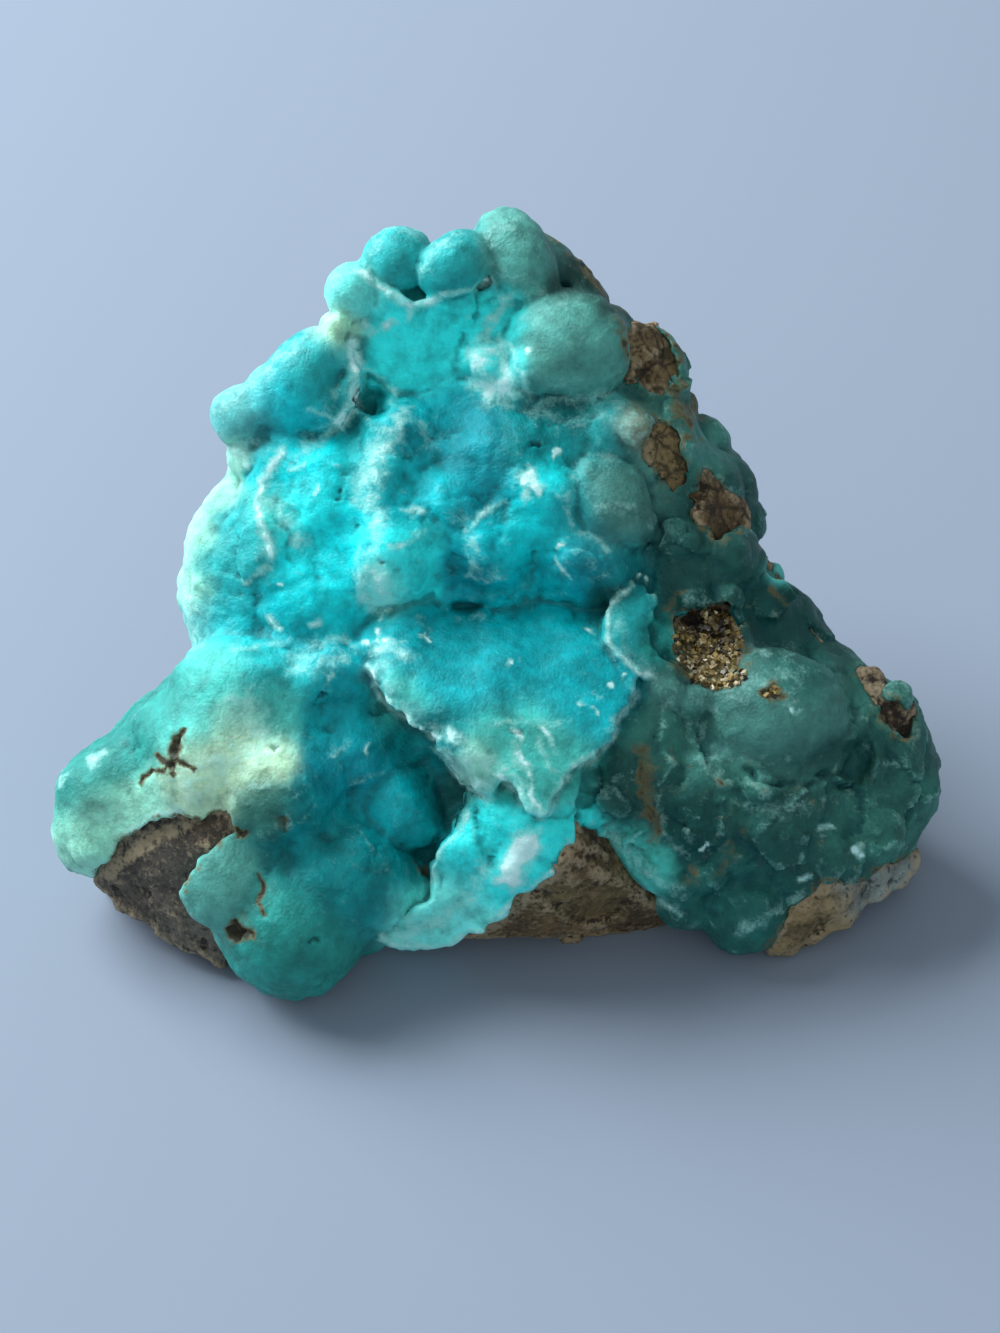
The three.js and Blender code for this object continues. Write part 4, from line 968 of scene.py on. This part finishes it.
def sheet(bm, outline, levels, depth, band=(), drop=0, margin=0):
    """A plate with a ragged outline and a gently curved top; a negative depth goes outwards."""
    xs, ys = zip(*outline)
    wide, high = max(xs) - min(xs) + SHEET_ROOM, max(ys) - min(ys) + SHEET_ROOM
    middle = Matrix.Translation(((max(xs) + min(xs)) / 2, (max(ys) + min(ys)) / 2, 0))
    made = bmesh.ops.create_grid(bm, x_segments=math.ceil(wide / SHEET_CELL),
                                 y_segments=math.ceil(high / SHEET_CELL), size=0.5,
                                 matrix=middle @ Matrix.Diagonal((wide, high, 1, 1)))
    faces = list(dict.fromkeys(face for vert in made["verts"] for face in vert.link_faces))
    ring = outline + outline[:1]
    outside = []
    for face in faces:
        x, y = ragged(*face.calc_center_median().xy)
        on_margin = margin and line_distance(np.array([[x, y]]), ring)[0] <= margin
        if not on_margin and not inside(x, y, outline):
            outside.append(face)
    bmesh.ops.delete(bm, geom=outside, context="FACES")
    top = [vert for vert in made["verts"] if vert.is_valid]
    for vert in top:
        x, y = vert.co.xy
        level = level_at(x, y, levels)
        if band:
            near = line_distance(np.array([[x, y]]), band)[0]
            level -= drop * max(0, 1 - near / BAND_WIDTH) ** 2
        shrink = (VIEW_DISTANCE - level) / VIEW_DISTANCE
        vert.co = (x * shrink, y * shrink, level)
    kept = [face for face in faces if face.is_valid]
    extruded = bmesh.ops.extrude_face_region(bm, geom=kept)["geom"]
    bottom = [item for item in extruded if isinstance(item, bmesh.types.BMVert)]
    bmesh.ops.translate(bm, verts=bottom, vec=(0, 0, -depth))
    bmesh.ops.transform(bm, verts=top + bottom, matrix=FACE)


# ------------------------------------------------------------------ crust


def merged_growth(bm):
    for row in BODY + MERGED:
        lump(bm, row)


def crisp_growth(bm):
    for row in BALLS:
        lump(bm, row, detail=4)
    for plate in SHEETS:
        sheet(bm, *plate)


def openings(bm):
    for outline, levels in BARE:
        floor_levels = [(across, up, out - OPENING_SINK) for across, up, out in levels]
        sheet(bm, outline, floor_levels, -OPENING_HEIGHT)


def crust_areas(skin):
    """How calm and how broken the crust is at each point, 0 to 1."""
    calm = near_ovals(skin, [(*oval, 1) for oval in CALM], 0.75, 1.15)
    return calm, near_ovals(skin, BROKEN, 0.6, 1.2)


def shape_crust(piece):
    skin = Skin(piece)
    skin.measure()
    points, middle, fine = skin.points, skin.middle, skin.fine
    calm, broken = crust_areas(skin)
    rough = 1 - 0.75 * calm
    broken = broken * rough
    domes = 1 - (pattern(cell, points + 0.8 * middle, BOTRYOID) / CELL_REACH) ** 2
    crumbs = 1 - (pattern(cell, points + 0.3 * fine, CRUMB, 50) / CELL_REACH) ** 2
    chips = pattern(chip, points + 0.6 * middle, CRUST_CHIP)
    flakes = pattern(chip, points + 0.3 * fine, CRUST_FLAKE, 30)
    height = (0.1 + 0.3 * rough) * skin.coarse[:, 2]
    height += rough * (1 - 0.8 * broken) * (0.45 * domes + 0.1 * crumbs - 0.2)
    height += (0.05 + 0.14 * rough) * middle[:, 2] + (0.03 + 0.05 * rough) * fine[:, 2]
    height += ((0.04 + 0.1 * rough + 0.9 * broken) * chips
               + (0.03 + 0.05 * rough + 0.12 * broken) * flakes)
    for width, rise, _, _, line in LINES:
        height += 0.5 * rise * near_line(skin, line, width, 0.3) * (0.7 + 1.4 * fine[:, 0])
    for *circle, depth, _ in PITS:
        distance = oval_distance(skin.torn, *circle)
        height -= depth * (1 - soft_step(0.4, 1.4, distance)) * skin.front
    skin.push(height)
    sunk = np.zeros(len(points))
    for *oval, depth in HOLLOWS:
        distance = oval_distance(skin.warped, *oval)
        sunk = np.maximum(sunk, depth * (1 - soft_step(0.4, 1.2, distance)) * skin.front)
    skin.press(sunk)


def paint_crust(piece):
    skin = Skin(piece)
    skin.measure()
    calm, broken = crust_areas(skin)
    relief = skin.relief(8)
    pale = 0.3 * soft_step(0.04, 0.25, relief) - 0.14 * calm
    rust = 0.22 * broken
    for width, _, paleness, rusty, line in LINES:
        near = near_line(skin, line, 1.4 * width, 0.35)
        pale = np.maximum(pale, paleness * near)
        rust = np.maximum(rust, rusty * near)
    for width, paleness, line in CLOUDS:
        near = paleness * near_line(skin, line, width)
        pale = np.maximum(pale, near) + np.minimum(near, 0)
    # painted glints, as white spots
    for circle in PAINTED_GLINTS:
        near = 1.6 * np.exp(-oval_distance(skin.torn, *circle) ** 2) * skin.front
        pale = np.maximum(pale, near)
    for *circle, _, rusty in PITS:
        distance = oval_distance(skin.torn, *circle)
        rust = np.maximum(rust, rusty * np.exp(-(distance / 2) ** 2) * skin.front)
    for outline, _ in BARE:
        for width, strength in ((0.4, 0.8), (1.3, 0.45)):
            near = near_line(skin, outline + outline[:1], width)
            rust = np.maximum(rust, strength * near)
    for width, strength, line in STAINS:
        rust = np.maximum(rust, strength * near_line(skin, line, width, 0.7))
    skin.store("tint", mixed_tints(skin, ZONES, SEA_GREEN))
    skin.store("pale", pale)
    skin.store("rust", rust)
    # painted shade: how far each point sinks below the smoothed skin, which darkens the creases
    skin.store("crease_shade", soft_step(0.02, 0.25, -relief))


def make_crust(rock):
    crust = remeshed("crust", merged_growth, BODY_VOXEL, smoothing=10)
    crust = remeshed("crust", crisp_growth, SKIN_VOXEL, smoothing=2, onto=crust)
    cut(crust, remeshed("openings", openings, SKIN_VOXEL))
    shape_crust(crust)
    cut(crust, rock, keep_tool=True)
    cut(crust, ground_slab())
    keep_largest(crust)
    thin_out(crust, CRUST_TRIANGLES)
    paint_crust(crust)
    return crust


# ------------------------------------------------------------------ rock


def rock_blocks(bm):
    for corners in ROCK_BLOCKS:
        hull(bm, corners)
    for outline, levels in BARE:
        sheet(bm, outline, levels, BOSS_DEPTH, margin=BOSS_MARGIN)


def shape_rock(piece):
    skin = Skin(piece)
    skin.measure()
    ridges = 1 - 2 * np.abs(skin.middle[:, 0])
    slabs = pattern(chip, skin.points + 0.6 * skin.middle, ROCK_SLAB)
    chips = pattern(chip, skin.points + 0.3 * skin.middle, ROCK_CHIP, 20)
    skin.push(0.25 * skin.coarse[:, 2] + 0.08 * ridges + 0.4 * slabs + 0.16 * chips
              + 0.07 * skin.fine[:, 2])
    distance = oval_distance(skin.warped, *POCKET_HOLE)
    skin.press(POCKET_DEPTH * (1 - soft_step(0.6, 1.2, distance)) * skin.front)


def paint_rock(piece):
    skin = Skin(piece)
    skin.measure()
    relief = skin.relief(6)
    pale = soft_step(0.05, 0.25, relief)
    for width, paleness, line in ROCK_EDGES:
        pale = np.maximum(pale, paleness * near_line(skin, line, width))
    cracked = np.full(len(skin.points), 0.1)
    for circle in CRACKED:
        distance = oval_distance(skin.seen, *circle)
        cracked = np.maximum(cracked, 0.8 - 0.8 * soft_step(0.8, 1.2, distance))
    skin.store("tint", mixed_tints(skin, ROCK_ZONES, ROCK_BROWN))
    skin.store("pale", pale)
    # painted shade: how far each point sinks below the smoothed skin, which darkens the rock's
    # creases
    skin.store("crease_shade", soft_step(0.02, 0.2, -relief))
    skin.store("cracked", cracked)


def make_rock():
    """The rock in full detail, which the crust is cut with; it is thinned and painted later."""
    rock = remeshed("matrix_rock", rock_blocks, ROCK_VOXEL, smoothing=1)
    shape_rock(rock)
    cut(rock, ground_slab())
    keep_largest(rock)
    return rock


def make_grains(*grounds):
    """Small angular crystals crowded in the pocket, each sunk in what lies under it."""
    dice = random.Random(5)
    trees = []
    for ground in grounds:
        corners = [vert.co for vert in ground.data.vertices]
        faces = [face.vertices[:] for face in ground.data.polygons]
        trees.append(BVHTree.FromPolygons(corners, faces))
    eye = FACE_MIDDLE + FACE_OUT * VIEW_DISTANCE
    bm = bmesh.new()
    layer = bm.verts.layers.float_color.new("tint")
    for across, up, half_across, half_up, count in GRAIN_BEDS:
        for _ in range(count):
            angle, reach = dice.uniform(0, 2 * math.pi), math.sqrt(dice.random())
            seen = Vector((across + half_across * reach * math.cos(angle),
                           up + half_up * reach * math.sin(angle), 0))
            if oval_distance(np.array([seen]), *POCKET_HOLE)[0] < 1:
                continue
            hits = [tree.ray_cast(eye, FACE @ seen - eye) for tree in trees]
            place = min((hit for hit in hits if hit[0]), key=lambda hit: hit[3])[0]
            size = dice.uniform(*GRAIN_SIZE)
            turn = Euler([dice.uniform(0, math.pi) for _ in range(3)]).to_matrix().to_4x4()
            sides = Matrix.Diagonal((size, size * dice.uniform(0.6, 1),
                                     size * dice.uniform(0.8, 1.5), 1))
            made = bmesh.ops.create_cube(bm, size=1,
                                         matrix=Matrix.Translation(place) @ turn @ sides)
            # the crystals get darker up the face, towards the hole
            lightness = dice.random() ** (0.65 + 0.15 * max(0, seen.y))
            tint = colour_of(GRAIN_TINTS[int(lightness * len(GRAIN_TINTS))])
            for vert in made["verts"]:
                vert[layer] = tint
    return mesh_object("pocket_grains", bm)


# ------------------------------------------------------------------ materials
# A mix has its share in input 0, its two colours in 6 and 7 and its result in output 2.


def set_inputs(material, node, inputs):
    """Links the inputs that are given as sockets and sets the others."""
    for name, value in inputs.items():
        if isinstance(value, bpy.types.NodeSocket):
            material.node_tree.links.new(value, node.inputs[name])
        else:
            node.inputs[name].default_value = value


def add_node(material, kind, output, inputs=None, **settings):
    """Adds a shader node and gives back one of its outputs."""
    node = material.node_tree.nodes.new("ShaderNode" + kind)
    for name, value in settings.items():
        setattr(node, name, value)
    set_inputs(material, node, inputs or {})
    return node.outputs[output]


def new_material(name):
    material = bpy.data.materials.new(name)
    material.use_nodes = True
    return material, material.node_tree.nodes["Principled BSDF"]


def hemimorphite():
    """Grown crust: waxy and a little see-through, with white film where it is thin or broken."""
    material, shader = new_material("hemimorphite_waxy_crust")
    place = add_node(material, "TexCoord", "Object")
    tint = add_node(material, "Attribute", "Color", attribute_name="tint")
    pale, rust, crease_shade = [add_node(material, "Attribute", "Fac", attribute_name=name)
                        for name in ("pale", "rust", "crease_shade")]
    patches, veil, druse = [
        add_node(material, "TexNoise", "Fac", {"Vector": place, "Scale": scale, "Detail": detail,
                                               "Roughness": roughness, "Distortion": distortion})
        for scale, detail, roughness, distortion in (
            (400, 7, 0.66, 0),  # patches of stronger and weaker blue, about 2.5 mm wide
            (650, 8, 0.64, 0.3),  # wisps of white film, about 1.5 mm wide, with frayed edges
            (2900, 3, 0.6, 0))]  # druse of crystal ends, 0.35 mm across
    shade, gloss = [
        add_node(material, "MapRange", "Result", {"Value": value, "From Min": low,
                                                  "From Max": high, "To Min": least,
                                                  "To Max": most})
        for value, low, high, least, most in ((patches, 0.3, 0.7, 0.56, 1.34),
                                              (veil, 0.35, 0.65, 0.36, 0.62))]
    base = add_node(material, "Mix", 2, {0: 1, 6: tint, 7: shade},
                    data_type="RGBA", blend_type="MULTIPLY")
    # painted shade: the creases are darkened towards a deep teal
    crease_shade_part = add_node(material, "Math", 0, {0: crease_shade, 1: 0.6}, operation="MULTIPLY")
    # painted film and stain fray along the veil, and the crystal ends stand up along it
    wisps, stain, grain = [
        add_node(material, "Math", 0, {0: veil, 1: share, 2: value}, operation="MULTIPLY_ADD")
        for share, value in ((1.3, pale), (1.5, rust), (1.4, druse))]
    film = add_node(material, "Math", 0, {0: druse, 1: 0.8, 2: wisps}, operation="MULTIPLY_ADD")
    frosted = add_node(material, "Mix", 2, {0: 0.68, 6: tint, 7: colour_of(FILM)},
                       data_type="RGBA")
    # where each layer starts, where it is full, and how much it covers there
    film, chalk, ochre, brown = [
        add_node(material, "MapRange", "Result",
                 {"Value": value, "From Min": low, "From Max": high, "To Max": cover},
                 interpolation_type="SMOOTHSTEP")
        for value, low, high, cover in ((film, 1.15, 1.9, 0.85), (film, 1.75, 2.25, 0.9),
                                        (stain, 1.05, 1.55, 0.92), (stain, 1.4, 1.75, 0.92))]
    for part, tone in ((crease_shade_part, colour_of(CREASE_SHADE_TEAL)), (film, frosted),
                       (chalk, colour_of(CHALK)), (ochre, colour_of(OCHRE)),
                       (brown, colour_of(RUST))):
        base = add_node(material, "Mix", 2, {0: part, 6: base, 7: tone}, data_type="RGBA")
    bump = add_node(material, "Bump", 0, {"Height": grain, "Strength": 0.75, "Distance": 0.00018})
    set_inputs(material, shader, {
        "Base Color": base, "Roughness": gloss, "Normal": bump, "IOR": 1.62,
        "Specular IOR Level": 0.35, "Specular Tint": colour_of(GLINT),
        "Subsurface Weight": 0.5, "Subsurface Radius": (0.4, 1, 1), "Subsurface Scale": 0.002})
    return material


def limonite_rock():
    """Broken carbonate rock stained by limonite: dull and brown, with pale grains and cracks."""
    material, shader = new_material("limonite_stained_rock")
    place = add_node(material, "TexCoord", "Object")
    tint = add_node(material, "Attribute", "Color", attribute_name="tint")
    pale, crease_shade, cracked = [add_node(material, "Attribute", "Fac", attribute_name=name)
                           for name in ("pale", "crease_shade", "cracked")]
    stains, grains, bend = [
        add_node(material, "TexNoise", output, {"Vector": place, "Scale": scale,
                                                "Detail": detail, "Roughness": roughness})
        for scale, detail, roughness, output in (
            (330, 6, 0.6, "Fac"),  # stains about 3 mm wide
            (1800, 4, 0.65, "Fac"),  # grains of about half a millimetre
            (600, 2, 0.5, "Color"))]  # bends in the cracks, about 1.6 mm long
    # cracks round lumps of about 2 mm, bent by 0.8 mm, only where the rock is cracked
    bent = add_node(material, "VectorMath", 0, {0: bend, 1: (0.0016, 0.0016, 0.0016), 2: place},
                    operation="MULTIPLY_ADD")
    cracks = add_node(material, "TexVoronoi", "Distance", {"Vector": bent, "Scale": 420},
                      feature="DISTANCE_TO_EDGE")
    # painted shade: the dark specks gather in the creases
    light, seams, specks = [
        add_node(material, "Math", 0, {0: value, 1: share, 2: other}, operation="MULTIPLY_ADD")
        for value, share, other in ((pale, 0.3, grains), (grains, 0.25, cracks),
                                    (crease_shade, -0.2, grains))]
    shade, light, seams, specks = [
        add_node(material, "MapRange", "Result", {"Value": value, "From Min": low,
                                                  "From Max": high, "To Min": least,
                                                  "To Max": most})
        for value, low, high, least, most in (
            (stains, 0.32, 0.68, 0.4, 1.6), (light, 0.54, 0.86, 0, 0.75),
            (seams, 0.24, 0.12, 0, 0.9), (specks, 0.42, 0.26, 0, 0.85))]
    seams = add_node(material, "Math", 0, {0: cracked, 1: seams}, operation="MULTIPLY")
    dark = add_node(material, "Math", 0, {0: seams, 1: specks}, operation="MAXIMUM")
    base = add_node(material, "Mix", 2, {0: 1, 6: tint, 7: shade},
                    data_type="RGBA", blend_type="MULTIPLY")
    for part, tone in ((light, PALE_GRAIN), (dark, DARK_SEAM)):
        base = add_node(material, "Mix", 2, {0: part, 6: base, 7: colour_of(tone)},
                        data_type="RGBA")
    relief = add_node(material, "Math", 0, {0: dark, 1: -0.7, 2: grains},
                      operation="MULTIPLY_ADD")
    bump = add_node(material, "Bump", 0, {"Height": relief, "Strength": 0.9, "Distance": 0.0003})
    set_inputs(material, shader, {"Base Color": base, "Roughness": 0.8, "Normal": bump})
    return material


def calcite_grains():
    """Drusy calcite stained by limonite: small flat faces that catch the light one by one."""
    material, shader = new_material("stained_calcite_druse")
    place = add_node(material, "TexCoord", "Object")
    tint = add_node(material, "Attribute", "Color", attribute_name="tint")
    # stains about 0.3 mm wide
    stains = add_node(material, "TexNoise", "Fac", {"Vector": place, "Scale": 3000, "Detail": 3})
    shade = add_node(material, "MapRange", "Result", {"Value": stains, "From Min": 0.35,
                                                      "From Max": 0.65, "To Min": 0.6,
                                                      "To Max": 1.2})
    base = add_node(material, "Mix", 2, {0: 1, 6: tint, 7: shade},
                    data_type="RGBA", blend_type="MULTIPLY")
    set_inputs(material, shader, {"Base Color": base, "Roughness": 0.28, "IOR": 1.6})
    return material


rock = make_rock()
crust = make_crust(rock)
thin_out(rock, ROCK_TRIANGLES)
paint_rock(rock)
grains = make_grains(rock, crust)
for piece, material in ((crust, hemimorphite()), (rock, limonite_rock()),
                        (grains, calcite_grains())):
    piece.data.transform(Matrix.Scale(METRE, 4))
    piece.data.materials.clear()
    piece.data.materials.append(material)
for piece in (crust, rock):
    piece.data.shade_smooth()
for piece, slot in ((crust, "hemimorphite"), (rock, "matrix_rock"), (grains, "matrix_rock")):
    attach(piece, "root")
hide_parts("hemimorphite_crust")
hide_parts("matrix")

# ------------------------------------------------------------------ stage, lights and camera

FLOOR_GREY = "#8493a6"
DAYLIGHT = (0.98, 0.99, 1)
SOFT_SKY = (0.9, 0.96, 1, 1)
LIT_PLACE = Vector((0, 0, 0.02))

bpy.ops.mesh.primitive_plane_add(size=3)
floor = bpy.context.object
floor.name = "floor"
material, shader = new_material("pale_floor")
set_inputs(material, shader, {"Base Color": colour_of(FLOOR_GREY), "Roughness": 0.8})
floor.data.materials.append(material)


def aim(thing, place, direction):
    thing.location = place
    thing.rotation_mode = "QUATERNION"
    thing.rotation_quaternion = direction.to_track_quat("-Z", "Y")


for name, place, size, power in (("window", (-0.5, 0.32, 0.5), 0.55, 11.8),
                                 ("front_fill", (0.1, -0.6, 0.5), 0.6, 0.8)):
    data = bpy.data.lights.new(name, "AREA")
    data.shape = "SQUARE"
    data.size = size
    data.energy = power
    data.color = DAYLIGHT
    aim(new_object(name, data), place, LIT_PLACE - Vector(place))

scene = bpy.context.scene
scene.world = bpy.data.worlds.new("soft_room")
scene.world.use_nodes = True
background = scene.world.node_tree.nodes["Background"]
background.inputs["Color"].default_value = SOFT_SKY
background.inputs["Strength"].default_value = 0.4

data = bpy.data.cameras.new("camera")
data.sensor_width = SENSOR_WIDTH
data.lens = SENSOR_WIDTH * VIEW_DISTANCE / VIEW_HEIGHT
data.clip_start = 0.01
scene.camera = new_object("camera", data)
aim(scene.camera, (FACE_MIDDLE + FACE_OUT * VIEW_DISTANCE) * METRE, -FACE_OUT)
scene.view_settings.view_transform = "Standard"
